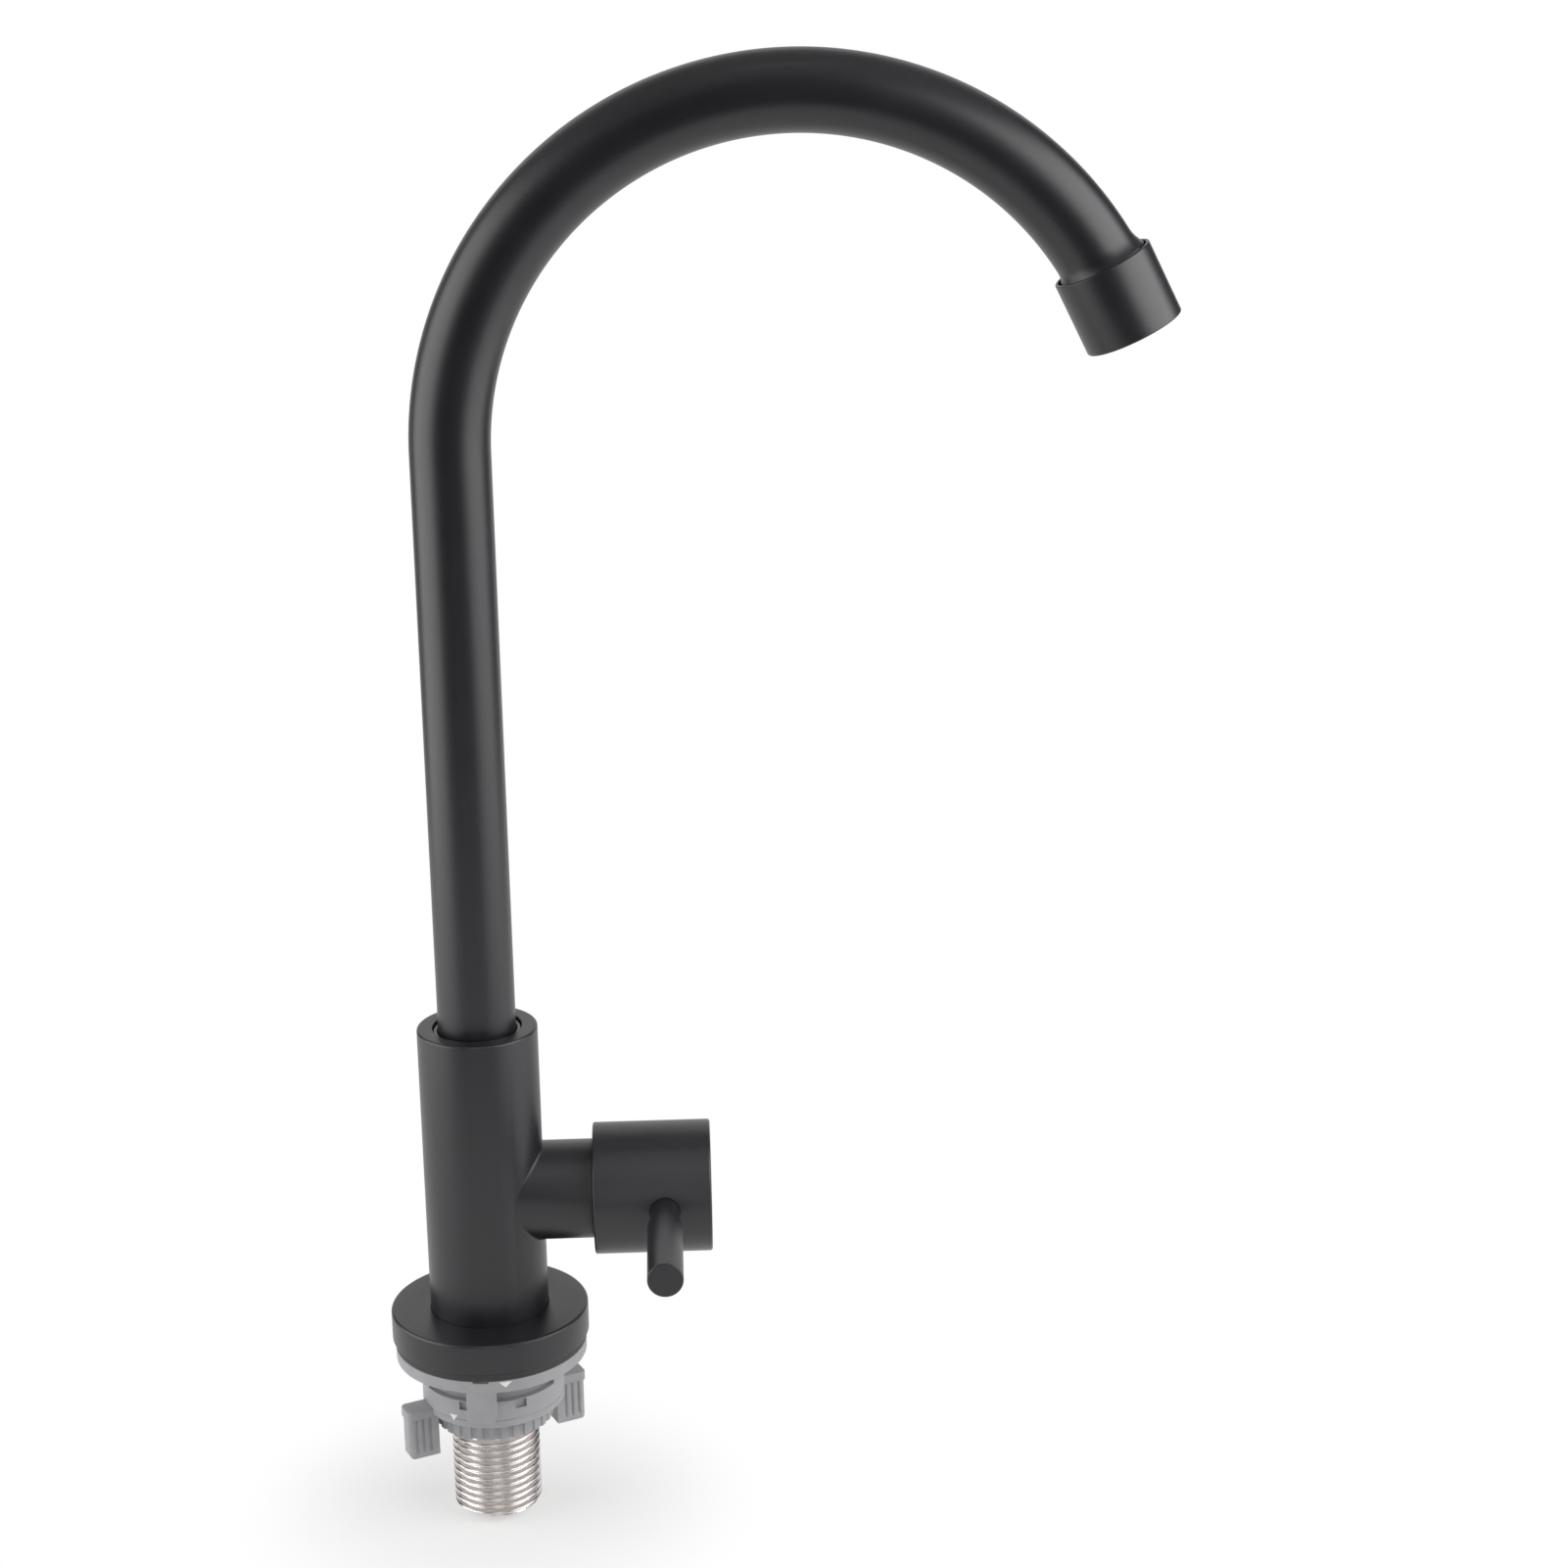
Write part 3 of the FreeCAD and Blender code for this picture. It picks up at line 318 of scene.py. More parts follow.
def nickel_plate():
    """Bright plating with fine lines round the axis and faint stains."""
    material, tree, surface, place = new_material(
        "nickel_plated_thread", "#d8d2d0", 0.24, metallic=1.0
    )
    stretched = add(tree, "ShaderNodeMapping", {}, {"Vector": place, "Scale": die_line_stretch})
    lines = add(
        tree, "ShaderNodeTexNoise", {},
        {"Vector": stretched, "Scale": per_mm(die_line_mm), "Detail": 3.0},
    )
    stain = add(
        tree, "ShaderNodeTexNoise", {}, {"Vector": place, "Scale": per_mm(stain_mm), "Detail": 5.0}
    )
    vary(
        tree, surface, colour=(stain, "#cbc5c3", "#e9e4e3"),
        gloss=(lines, 0.17, 0.34), relief=(lines, 0.4, die_line_depth_mm),
    )
    return material


plated_metal = nickel_plate()
print("made", plated_metal.name)

# %% [markdown]
# The other stuffs are simpler, and each still has its own grain: nitrile rubber with a dusty
# bloom, black and white acetal, turned brass with rings from the tool, lapped alumina, blackened
# steel and chalky printing ink. One function makes them all, because they differ only in numbers:
# colour, roughness, and the size and depth of one noise pattern in millimetres.

# %% Rubber, acetal, brass, ceramic, steel and ink
gloss_change = 0.15


def plain_stuff(
    name, dark, light, roughness, grain_mm, depth_mm, metallic=0.0, ior=1.5, stretch=(1, 1, 1)
):
    """A material whose one grain changes its colour, gloss and surface a little."""
    material, tree, surface, place = new_material(name, dark, roughness, metallic, ior)
    laid = add(tree, "ShaderNodeMapping", {}, {"Vector": place, "Scale": stretch})
    grain = add(
        tree, "ShaderNodeTexNoise", {}, {"Vector": laid, "Scale": per_mm(grain_mm), "Detail": 3.0}
    )
    smooth, rough = (1 - gloss_change) * roughness, (1 + gloss_change) * roughness
    vary(tree, surface, (grain, dark, light), (grain, smooth, rough), (grain, 0.5, depth_mm))
    return material


rubber = plain_stuff("nitrile_rubber", "#201f1f", "#343332", 0.55, 0.6, 0.02, ior=1.52)
black_acetal = plain_stuff("black_acetal", "#18181a", "#222224", 0.2, 1.2, 0.004, ior=1.48)
acetal = plain_stuff("white_acetal", "#dcdbd6", "#ecebe7", 0.35, 1.2, 0.004, ior=1.48)
brass = plain_stuff(
    "turned_brass", "#b4924f", "#cfb176", 0.3, 0.3, 0.006, metallic=1.0, stretch=(1, 0.1, 0.1)
)
ceramic = plain_stuff("lapped_alumina", "#dedbd0", "#efede6", 0.15, 0.5, 0.001, ior=1.76)
steel = plain_stuff("blackened_steel", "#3a3a3d", "#57575a", 0.35, 0.4, 0.005, metallic=1.0)
ink = plain_stuff("white_marking_ink", "#ececea", "#fbfbfa", 0.6, 0.3, 0.003)
finishes = {
    "matte_black": black_coat, "black_rubber": rubber, "grey_nylon": grey_moulding,
    "nickel_plate": plated_metal, "brass": brass, "white_acetal": acetal, "black_acetal": black_acetal,
    "ceramic": ceramic, "screw_steel": steel,
}
slot_of = {entry["node"]: entry["material_slot"] for entry in frame["record"]["subparts"]}
for node, piece in frame["nodes"].items():
    piece.data.materials.clear()
    piece.data.materials.append(finishes[slot_of[node]])
print("finishes given to", len(slot_of), "nodes")

# %% [markdown]
# Almost every piece of a tap is turned, so the main tool is a lathe: a profile of radius and
# height, spun round an axis. A third number at a corner is its rounding, as a turner breaks every
# edge. A piece is turned upright, then laid where it belongs by one matrix. Faces that meet at
# more than 32 degrees show a sharp edge, and flatter ones are shaded as one skin.

# %% Lathe
ROUNDS = 160
ARC_STEPS = 6
SHARP = 32
upright = Matrix.Identity(4)
along_branch = Matrix.Translation((0, 0, branch_level)) @ Matrix.Rotation(math.pi / 2, 4, "Y")
along_lever = Matrix.Translation((lever_place, 0, branch_level)) @ Matrix.Rotation(math.pi / 2, 4, "X")
at_outlet = Matrix.Translation(outlet) @ Matrix.Rotation(bend_sweep, 4, "Y")


def rounded(profile):
    """Replaces each corner that has a third number by an arc of that radius."""
    points = []
    count = len(profile)
    for i, corner in enumerate(profile):
        here = Vector(corner[:2])
        radius = corner[2] if len(corner) > 2 else 0
        if not radius:
            points.append(here)
            continue
        back = (Vector(profile[i - 1][:2]) - here).normalized()
        ahead = (Vector(profile[(i + 1) % count][:2]) - here).normalized()
        half = back.angle(ahead) / 2
        reach = radius / math.tan(half)
        centre = here + (back + ahead).normalized() * radius / math.sin(half)
        first, last = here + back * reach - centre, here + ahead * reach - centre
        for step in range(ARC_STEPS + 1):
            points.append(centre + first.lerp(last, step / ARC_STEPS).normalized() * radius)
    return points


def finish_mesh(name, points, faces, place, material, body, sharp=SHARP):
    """Builds an object from points in millimetres and hands it to its body."""
    mesh = bpy.data.meshes.new(name)
    mesh.from_pydata([(place @ Vector(p)) * MM for p in points], [], faces)
    shell = bmesh.new()
    shell.from_mesh(mesh)
    bmesh.ops.recalc_face_normals(shell, faces=shell.faces)
    shell.to_mesh(mesh)
    shell.free()
    mesh.shade_smooth()
    mesh.set_sharp_from_angle(angle=math.radians(sharp))
    mesh.materials.append(material)
    piece = bpy.data.objects.new(name, mesh)
    bpy.context.scene.collection.objects.link(piece)
    if body:
        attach(piece, body)
    return piece


def even_angles(count):
    """Angles evenly round a full turn."""
    return [2 * math.pi * i / count for i in range(count)]


def spin(profile, angles):
    """Points and faces of a closed profile spun round the vertical axis.

    A radius may be a function of height and angle, for pieces that aren't quite round.
    """
    points, faces, rows = [], [], []
    rounds = len(angles)
    for radius, height in profile:
        if radius == 0:
            rows.append([len(points)] * rounds)
            points.append((0, 0, height))
            continue
        rows.append(range(len(points), len(points) + rounds))
        for angle in angles:
            here = radius(height, angle) if callable(radius) else radius
            points.append((here * math.cos(angle), here * math.sin(angle), height))
    for a, b in zip(rows, rows[1:] + rows[:1]):
        for i in range(rounds):
            j = (i + 1) % rounds
            face = list(dict.fromkeys((a[i], a[j], b[j], b[i])))
            if len(face) > 2:
                faces.append(face)
    return points, faces


def turned(name, profile, place, material, body, rounds=ROUNDS):
    """A turned piece, ready on its body."""
    points, faces = spin(rounded(profile), even_angles(rounds))
    return finish_mesh(name, points, faces, place, material, body)


print("lathe ready:", ROUNDS, "sides")

# %% [markdown]
# Where two forms meet, such as the branch and the body, they are joined or cut with an exact
# boolean, as a machinist would braze or mill them. A boolean leaves points that almost touch, and
# flat splinters of faces between them, so these are merged at once. The result is stored in the
# mesh, so nothing is left to compute later. A cutting tool reaches a little past the face that it
# opens, because two faces in one plane would leave it open which of them stays.

# %% Join and cut
tool_past = 2


def merge_close(piece, distance_mm=0.002):
    """Joins points that almost lie on one another, so that the skin is closed and clean."""
    shell = bmesh.new()
    shell.from_mesh(piece.data)
    bmesh.ops.remove_doubles(shell, verts=shell.verts, dist=distance_mm * MM)
    bmesh.ops.recalc_face_normals(shell, faces=shell.faces)
    shell.to_mesh(piece.data)
    shell.free()


def settle(piece):
    """Stores what the modifiers make in the mesh itself."""
    bpy.context.view_layer.update()
    view = bpy.context.evaluated_depsgraph_get()
    mesh = bpy.data.meshes.new_from_object(piece.evaluated_get(view))
    piece.modifiers.clear()
    piece.data = mesh
    merge_close(piece)
    mesh.shade_smooth()
    mesh.set_sharp_from_angle(angle=math.radians(SHARP))


def combine(piece, others, operation):
    """Joins others to the piece, or cuts them from it, and removes them."""
    for other in others:
        step = piece.modifiers.new("combine", "BOOLEAN")
        step.solver = "EXACT"
        step.operation = operation
        step.object = other
        settle(piece)
        bpy.data.objects.remove(other)


def drill(name, radius, start, end, place, rounds=ROUNDS):
    """A plain cylinder as a cutting tool, between two levels of its axis."""
    profile = [(0, start), (radius, start), (radius, end), (0, end)]
    return turned(name, profile, place, black_coat, None, rounds)


def block(name, size, centre, place):
    """A box as a cutting tool, in millimetres."""
    corners = [
        (centre[0] + size[0] * x / 2, centre[1] + size[1] * y / 2, centre[2] + size[2] * z / 2)
        for x in (-1, 1) for y in (-1, 1) for z in (-1, 1)
    ]
    sides = [(0, 1, 3, 2), (4, 6, 7, 5), (0, 4, 5, 1), (2, 3, 7, 6), (0, 2, 6, 4), (1, 5, 7, 3)]
    return finish_mesh(name, corners, sides, place, grey_moulding, None)


print("booleans ready")

# %% [markdown]
# A mould has no sharp corner, so every edge of the grey nut is broken by a quarter of a millimetre,
# and that is where it catches a thin line of light. Its odd shapes are drawn as a row of sections
# with a skin over them, and the sections close to an end are drawn in along a quarter circle.
# That keeps the edge even, where a bevel on the joined mesh would stop at its shortest side.

# %% Skin over sections
broken_edge = 0.25
EDGE_STEPS = 4
EDGE_LEVELS = [broken_edge * (i / EDGE_STEPS) ** 2 for i in range(EDGE_STEPS + 1)]


def edge_inset(distance, radius=broken_edge):
    """How far a rounded edge draws a side in, at that distance from the end face."""
    short = max(0.0, radius - distance)
    return radius - math.sqrt(radius**2 - short**2)


def skin(name, sections, place):
    """A closed piece over sections that all have the same number of points."""
    count = len(sections[0])
    points = [point for section in sections for point in section]
    faces = [tuple(range(count)), tuple(range(len(points) - count, len(points)))]
    for row in range(0, len(points) - count, count):
        for i in range(count):
            j = (i + 1) % count
            faces.append((row + i, row + i + count, row + j + count, row + j))
    return finish_mesh(name, points, faces, place, grey_moulding, None)


print("edge levels in mm:", [round(level, 2) for level in EDGE_LEVELS])

# %% [markdown]
# The gooseneck is drawn tube, bent cold and then opened at its end with a flaring tool. It is
# built as rings along the path, first up the outside and then back down the bore, so the wall is
# real at both ends. The flare grows with the square of the distance, which gives the soft cove
# that the photograph shows above the collar.

# %% Gooseneck
flare_back, flare_length, flare_end = 8.8, 3.6, 1.7
flare_growth = high("spout_tube", 1) - spout_radius
BEND_STEPS, FLARE_STEPS = 150, 10


def spout_stations():
    """Points of the path with the direction there and the growth of the radius."""
    stations = [(Vector((0, 0, tube_foot)), 0.0, 0.0)]
    flare_start = bend_sweep - flare_back / bend_radius
    turn = flare_length / bend_radius
    angles = [flare_start * i / BEND_STEPS for i in range(BEND_STEPS + 1)]
    angles += [flare_start + turn * i / FLARE_STEPS for i in range(1, FLARE_STEPS + 1)]
    angles.append(bend_sweep)
    for angle in angles:
        share = min(1.0, max(0.0, (angle - flare_start) / turn))
        stations.append((bend_point(angle), angle, flare_growth * share**2))
    ahead = Vector((math.sin(bend_sweep), 0, math.cos(bend_sweep)))
    stations.append((outlet + flare_end * ahead, bend_sweep, flare_growth))
    return stations


def make_gooseneck():
    """The tube with its wall: rings out along the path, and back inside."""
    stations = spout_stations()
    trips = [(station, spout_radius) for station in stations]
    trips += [(station, spout_radius - spout_wall) for station in reversed(stations)]
    points, faces = [], []
    for (centre, angle, growth), radius in trips:
        across = Vector((math.cos(angle), 0, -math.sin(angle)))
        for i in range(ROUNDS):
            turn = 2 * math.pi * i / ROUNDS
            side = across * math.cos(turn) + Vector((0, math.sin(turn), 0))
            points.append(centre + side * (radius + growth))
    rings = len(trips)
    for ring in range(rings):
        a, b = ring * ROUNDS, (ring + 1) % rings * ROUNDS
        for i in range(ROUNDS):
            j = (i + 1) % ROUNDS
            faces.append((a + i, a + j, b + j, b + i))
    return finish_mesh("gooseneck", points, faces, upright, black_coat, "spout")


gooseneck = make_gooseneck()
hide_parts("spout_tube")
print("gooseneck faces:", len(gooseneck.data.polygons))

# %% [markdown]
# The aerator collar is a short sleeve with a thin wall. Its upper rim stands a little away from
# the flare, and that dark gap is what tells the eye that it is a separate piece.

# %% Aerator collar
collar_start, collar_mouth = -5.7, 11.3
collar_bore, collar_lip_bore, collar_lip = 10.5, 9.2, 1.2
collar = turned(
    "outlet_collar",
    [
        (collar_bore, collar_start, 0.15),
        (collar_radius, collar_start, 0.3),
        (collar_radius, collar_mouth, 0.35),
        (collar_lip_bore, collar_mouth, 0.3),
        (collar_lip_bore, collar_mouth - collar_lip),
        (collar_bore, collar_mouth - collar_lip),
    ],
    at_outlet, black_coat, "spout",
)
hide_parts("aerator_collar")
print("collar radius", round(collar_radius, 2))

# %% [markdown]
# The body is one piece: a column with a side branch, coated after the two are brazed. Where they
# meet, the solder leaves a small hollow round, and its light line is what shows the saddle in the
# photograph. A ball that touches both pipes and rolls along the corner would draw that round, so
# its centre is worked out for each angle about the branch, and the arc between the two touching
# points is drawn. The first and last point of each arc are sunk a little, so that the join is
# clean. A bevel on the joined mesh would be the other way, but the fine facets would choke it.

# %% Solder round between column and branch
branch_radius = 11.6
solder_radius, solder_sink, solder_root = 0.8, 0.04, 0.5
SOLDER_STATIONS = 180


def make_solder():
    """The hollow round as a closed ring that is rooted in both pipes."""
    points, faces = [], []
    for turn in even_angles(SOLDER_STATIONS):
        ray = Vector((0, math.cos(turn), math.sin(turn)))
        offset = ray * (branch_radius + solder_radius)
        reach = math.sqrt((body_radius + solder_radius) ** 2 - offset.y**2)
        centre = Vector((reach, offset.y, branch_level + offset.z))
        to_column = -Vector((reach, offset.y, 0)).normalized()
        for step in range(ARC_STEPS + 1):
            side = to_column.lerp(-ray, step / ARC_STEPS).normalized()
            sink = solder_sink if step in (0, ARC_STEPS) else 0
            points.append(centre + side * (solder_radius + sink))
        root = ray * (branch_radius - solder_root)
        depth = math.sqrt((body_radius - solder_root) ** 2 - root.y**2)
        points.append(Vector((depth, root.y, branch_level + root.z)))
    ring = ARC_STEPS + 2
    count = len(points)
    for here in range(0, count, ring):
        there = (here + ring) % count
        for i in range(ring):
            j = (i + 1) % ring
            faces.append((here + i, here + j, there + j, there + i))
    return finish_mesh("solder_round", points, faces, upright, black_coat, None)


print("solder round", solder_radius, "mm")

# %% [markdown]
# Column and branch are turned, then joined with the solder, and the branch is bored for the
# cartridge.

# %% Body and branch
spout_socket, bush_seat, socket_shown, sleeve_play = 10.0, 10.35, 9.5, 0.5
socket_floor = low("spout_base_sleeve", 2) - sleeve_play
branch_root = 2
chamber_radius, chamber_start = 9.25, 14.5


def make_body():
    """Column and branch in one piece, hollow at the spout's seat and at the cartridge's."""
    column = turned(
        "tap_column",
        [
            (0, body_base),
            (body_radius, body_base, 0.3),
            (body_radius, body_top, 0.55),
            (bush_seat, body_top, 0.2),
            (bush_seat, body_top - socket_shown),
            (spout_socket, body_top - socket_shown),
            (spout_socket, socket_floor),
            (0, socket_floor),
        ],
        upright, black_coat, None,
    )
    branch = turned(
        "side_branch",
        [
            (0, branch_root),
            (branch_radius, branch_root),
            (branch_radius, branch_reach, 0.3),
            (0, branch_reach),
        ],
        along_branch, black_coat, None,
    )
    chamber_end = branch_reach + tool_past
    chamber = drill("chamber_tool", chamber_radius, chamber_start, chamber_end, along_branch)
    combine(column, [branch, make_solder()], "UNION")
    combine(column, [chamber], "DIFFERENCE")
    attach(column, "tap_body")
    return column


tap_column = make_body()
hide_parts("valve_body")
print("body faces:", len(tap_column.data.polygons))

# %% [markdown]
# The bush in the body's mouth is a black moulding; only its top shows, half a millimetre down,
# as a thin ring round the spout. The flange is turned like the body, and a rubber ring
# under it keeps water off the worktop.

# %% Bush, flange and gasket
bush_top, bush_foot = high("spout_top_bush", 2), low("spout_top_bush", 2)
bush_bore, bush_radius = 9.05, 10.33
flange_bore = body_radius + 0.02  # pressed on the column, so next to no gap is left
bush = turned(
    "spout_bush",
    [
        (bush_bore, bush_foot),
        (bush_radius, bush_foot),
        (bush_radius, bush_top, 0.5),
        (bush_bore, bush_top, 0.5),
    ],
    upright, black_acetal, "tap_body",
)
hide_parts("spout_top_bush")
flange = turned(
    "base_ring",
    [
        (thread_crest, flange_base),
        (flange_radius, flange_base, 0.35),
        (flange_radius, flange_top, 0.7),
        (flange_bore, flange_top, 0.15),
        (flange_bore, body_base),
        (thread_crest, body_base),
    ],
    upright, black_coat, "tap_body",
)
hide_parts("base_flange")
gasket = turned(
    "rubber_gasket",
    [
        (thread_crest, 0),
        (gasket_radius, 0, 0.3),
        (gasket_radius, flange_base, 0.3),
        (thread_crest, flange_base),
    ],
    upright, rubber, "tap_body",
)
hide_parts("base_gasket")
print("flange", round(flange_radius, 2), "gasket", round(gasket_radius, 2))

# %% [markdown]
# The knob is a cup turned from bar. Two holes cross it: one for the lever's neck in front, and
# one behind for the small screw that locks it on the spindle.

# %% Knob
cup_radius, cup_floor = 13.6, 35.1
neck_radius, neck_socket, neck_length, neck_play = 3.45, 4.6, 8.6, 0.12
screw_hole, screw_hole_end = 2.02, 8
stem_hole, stem_play = 4.0, 0.5
LEVER_ROUNDS, HOLE_ROUNDS = 96, 64


def make_knob():
    """The cup with its two cross holes and the hole for the spindle in its floor."""
    knob = turned(
        "valve_knob",
        [
            (0, cup_floor),
            (cup_radius, cup_floor, 0.5),
            (cup_radius, knob_start, 0.2),
            (knob_radius, knob_start, 0.5),
            (knob_radius, knob_end, 0.6),
            (0, knob_end),
        ],
        along_branch, black_coat, None,
    )
    lever_hole = drill(
        "lever_hole", neck_radius + neck_play,
        knob_radius - neck_socket, knob_radius + tool_past, along_lever, LEVER_ROUNDS,
    )
    lock_hole = drill(
        "lock_hole", screw_hole,
        -knob_radius - tool_past, -screw_hole_end, along_lever, HOLE_ROUNDS,
    )
    spindle_room = drill(
        "spindle_room", stem_hole,
        cup_floor - tool_past, high("spindle", 0) + stem_play, along_branch, HOLE_ROUNDS,
    )
    combine(knob, [lever_hole, lock_hole, spindle_room], "DIFFERENCE")
    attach(knob, "handle")
    return knob


knob = make_knob()
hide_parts("knob")
print("knob faces:", len(knob.data.polygons))

# %% [markdown]
# The lever is a straight bar. Its first nine millimetres are a little slimmer, and the step
# between neck and bar catches a thin line of light.

# %% Lever
neck_clear = 0.1
neck_end = knob_radius - neck_socket + neck_clear
lever = turned(
    "pin_lever",
    [
        (0, neck_end),
        (neck_radius, neck_end),
        (neck_radius, knob_radius + neck_length, 0.05),
        (lever_radius, knob_radius + neck_length, 0.12),
        (lever_radius, lever_reach, 0.4),
        (0, lever_reach),
    ],
    along_lever, black_coat, "handle", LEVER_ROUNDS,
)
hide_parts("lever_pin")
print("lever reaches", round(lever_reach, 1), "mm from the knob's axis")

# %% [markdown]
# The tail has a real helical thread, half-inch pipe: 14 turns to the inch, rounded crests and
# roots. Each point's radius comes from how far it lies along the helix. Near the foot the
# chamfer's cone cuts the thread down, as a turning tool does before the thread is rolled.

# %% Threaded tail
thread_depth, thread_fullness = 1.162, 1.2
thread_top = -0.2
plain_radius = thread_crest - 0.03  # above the thread the stock is a hair under the crests
tail_bore, tail_chamfer = 6.5, 0.9
tail_head = high("threaded_shank", 2) - 3  # out of sight inside the body
THREAD_STEP, THREAD_ROUNDS, THREAD_SHARP = 0.12, 144, 50


def thread_radius(height, angle):
    """Radius of the rolled thread at a height and an angle round the axis."""
    phase = (height / thread_pitch - angle / (2 * math.pi)) % 1
    ridge = 1 - 4 * abs(phase - 0.5)
    wave = math.sin(math.pi / 2 * max(-1.0, min(1.0, thread_fullness * ridge)))
    radius = thread_crest - thread_depth * (1 - wave) / 2
    fade = max(0.0, min(1.0, (thread_top - height) / thread_pitch))
    radius = plain_radius - (plain_radius - radius) * fade
    return min(radius, thread_crest - tail_chamfer + (height - tail_foot))


def make_tail():
    """The threaded pipe: rows of points up the outside, then the bore."""
    rows = int((thread_top - tail_foot) / THREAD_STEP)
    heights = [tail_foot + (thread_top - tail_foot) * i / rows for i in range(rows + 1)]
    heights.append(tail_head)
    profile = [(thread_radius, height) for height in heights]
    profile += [(tail_bore, tail_head), (tail_bore, tail_foot)]
    points, faces = spin(profile, even_angles(THREAD_ROUNDS))
    return finish_mesh(
        "threaded_tail", points, faces, upright, plated_metal, "tap_body", THREAD_SHARP
    )


tail = make_tail()
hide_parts("threaded_shank")
print("tail faces:", len(tail.data.polygons))

# %% [markdown]
# The grey nut is three mouldings. First the plate that presses on the worktop's underside: a
# disc with two claws flush with its rim, each with a slanted corner, and a small core mark in
# the rim above each claw. Under the disc a sleeve with a bead snaps into the turning ring.

# %% Clamp plate
plate_thick, plate_bore = 3.0, 11.0
plate_foot = plate_top - plate_thick
snap_radius, snap_drop, snap_bead, bead_height = 13.2, 4.4, 0.6, 1.0
claw_angles = (math.radians(-93.7), math.radians(86.3))
claw_width, claw_thick = 7.2, 2.3
slant_width, slant_height = 0.6, 2.4
claw_head = plate_foot + 0.8  # sunk in the plate, so that the two join
claw_face = plate_radius - 0.01  # a hair inside the rim, so that no two faces share a place
notch_width, notch_depth, notch_height = 3.7, 0.8, 0.5
CLAW_COLUMNS = 14


def make_claw(middle):
    """A curved claw from side to side, its foot slanted at one corner and its edges broken."""
    half = claw_width / 2
    inner_half = half - broken_edge
    places = [level - half for level in EDGE_LEVELS]
    places += [inner_half * (2 * i / CLAW_COLUMNS - 1) for i in range(1, CLAW_COLUMNS)]
    places += [half - level for level in reversed(EDGE_LEVELS)]
    sections = []
    for across in places:
        slant = max(0.0, across - (half - slant_width)) / slant_width
        foot = claw_foot + slant_height * slant
        angle = middle + across / plate_radius
        inner = plate_radius - claw_thick
        rows = []
        for level in EDGE_LEVELS:
            inset = edge_inset(min(level, half - abs(across)))
            rows.append((claw_face - inset, foot + level))
        rows += [(rows[-1][0], claw_head), (inner, claw_head), (inner, foot)]
        sections.append(
            [(radius * math.cos(angle), radius * math.sin(angle), height) for radius, height in rows]
        )
    return skin("claw", sections, upright)


def make_clamp_plate():
    """The disc with its snap-in sleeve, its two claws and the core marks above them."""
    snap_end = plate_foot - snap_drop
    bead_top = snap_end + bead_height
    plate = turned(
        "clamp_disc",
        [
            (plate_bore, snap_end),
            (snap_radius, snap_end),
            (snap_radius + snap_bead, bead_top),
            (snap_radius, bead_top + snap_bead / 2),
            (snap_radius, plate_foot),
            (plate_radius, plate_foot, broken_edge),
            (plate_radius, plate_top, broken_edge),
            (plate_bore, plate_top),
        ],
        upright, grey_moulding, None,
    )
    combine(plate, [make_claw(angle) for angle in claw_angles], "UNION")
    size = (2 * notch_depth, notch_width, 2 * notch_height)
    rim = (plate_radius, 0, plate_top)
    tools = [block("core_mark", size, rim, Matrix.Rotation(a, 4, "Z")) for a in claw_angles]
    combine(plate, tools, "DIFFERENCE")
    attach(plate, "clamp")
    return plate


clamp_disc = make_clamp_plate()
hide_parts("clamp_plate")
print("clamp plate faces:", len(clamp_disc.data.polygons))

# %% [markdown]
# Then the turning ring with its two wings. A wing is a plain slab on top and a thinner blade
# below it, with three soft flutes on each side so that wet fingers can hold it. The blade's
# outline is drawn at several levels, flutes and all, and the skin joins them: near the foot the
# flutes run out and the outer corner is rounded off. A cosine gives a flute without a sharp lip,
# which is how a mould for them is polished.

# %% Wing ring
ring_radius, neck_ring_radius = 16.9, 15.4
ring_shoulder, ring_foot = -8.4, -15.2
ring_bore, snap_bore, snap_floor = 12.62, 14.1, -7.9
foot_chamfer, foot_chamfer_height = 0.3, 0.4
groove_foot, groove_height, groove_depth, groove_slope = ring_foot + 1.7, 0.5, 0.16, 0.1
side_wall_half, wall_slope = math.radians(29), math.radians(0.6)
WALL_STEPS = [math.radians(a) for a in (-0.4, -0.2, 0.2, 0.4)]
wing_angle = math.radians(24.5)
wing_reach, wing_root, wing_thick, wing_edge, wing_corner = 22.9, 14.9, 5.5, 1.3, 1.3
wing_top, wing_slab, wing_inset = -13.3, 2.4, 0.3
flute_start, flute_pitch, flute_count = 17.35, 1.7, 3
flute_width, flute_depth, flute_stop, flute_fade = 1.06, 0.45, 1.1, 1.2
blade_root = 0.4
FLUTE_STEPS, CORNER_STEPS = 6, 8
window_angles = [math.radians(a) for a in (-64.5, -110.5, 115.5, 69.5)]
window_width, window_height, window_depth, window_level = 2.8, 2.1, 0.9, -9.7


def wing_outline(inset, depth):
    """A wing's outline from above, drawn in by the inset, with flutes of that depth."""
    half, reach = wing_thick / 2 - inset, wing_reach - inset
    side = [(wing_root + inset, half)]
    for i in range(flute_count):
        for step in range(-FLUTE_STEPS, FLUTE_STEPS + 1):
            share = step / FLUTE_STEPS
            dip = depth * (1 + math.cos(math.pi * share)) / 2
            side.append((flute_start + flute_pitch * i + flute_width * share / 2, half - dip))
    for step in range(CORNER_STEPS + 1):
        angle = math.pi / 2 * (1 - step / CORNER_STEPS)
        x = reach - wing_edge * (1 - math.cos(angle))
        side.append((x, half - wing_edge * (1 - math.sin(angle))))
    return side + [(x, -y) for x, y in reversed(side)]


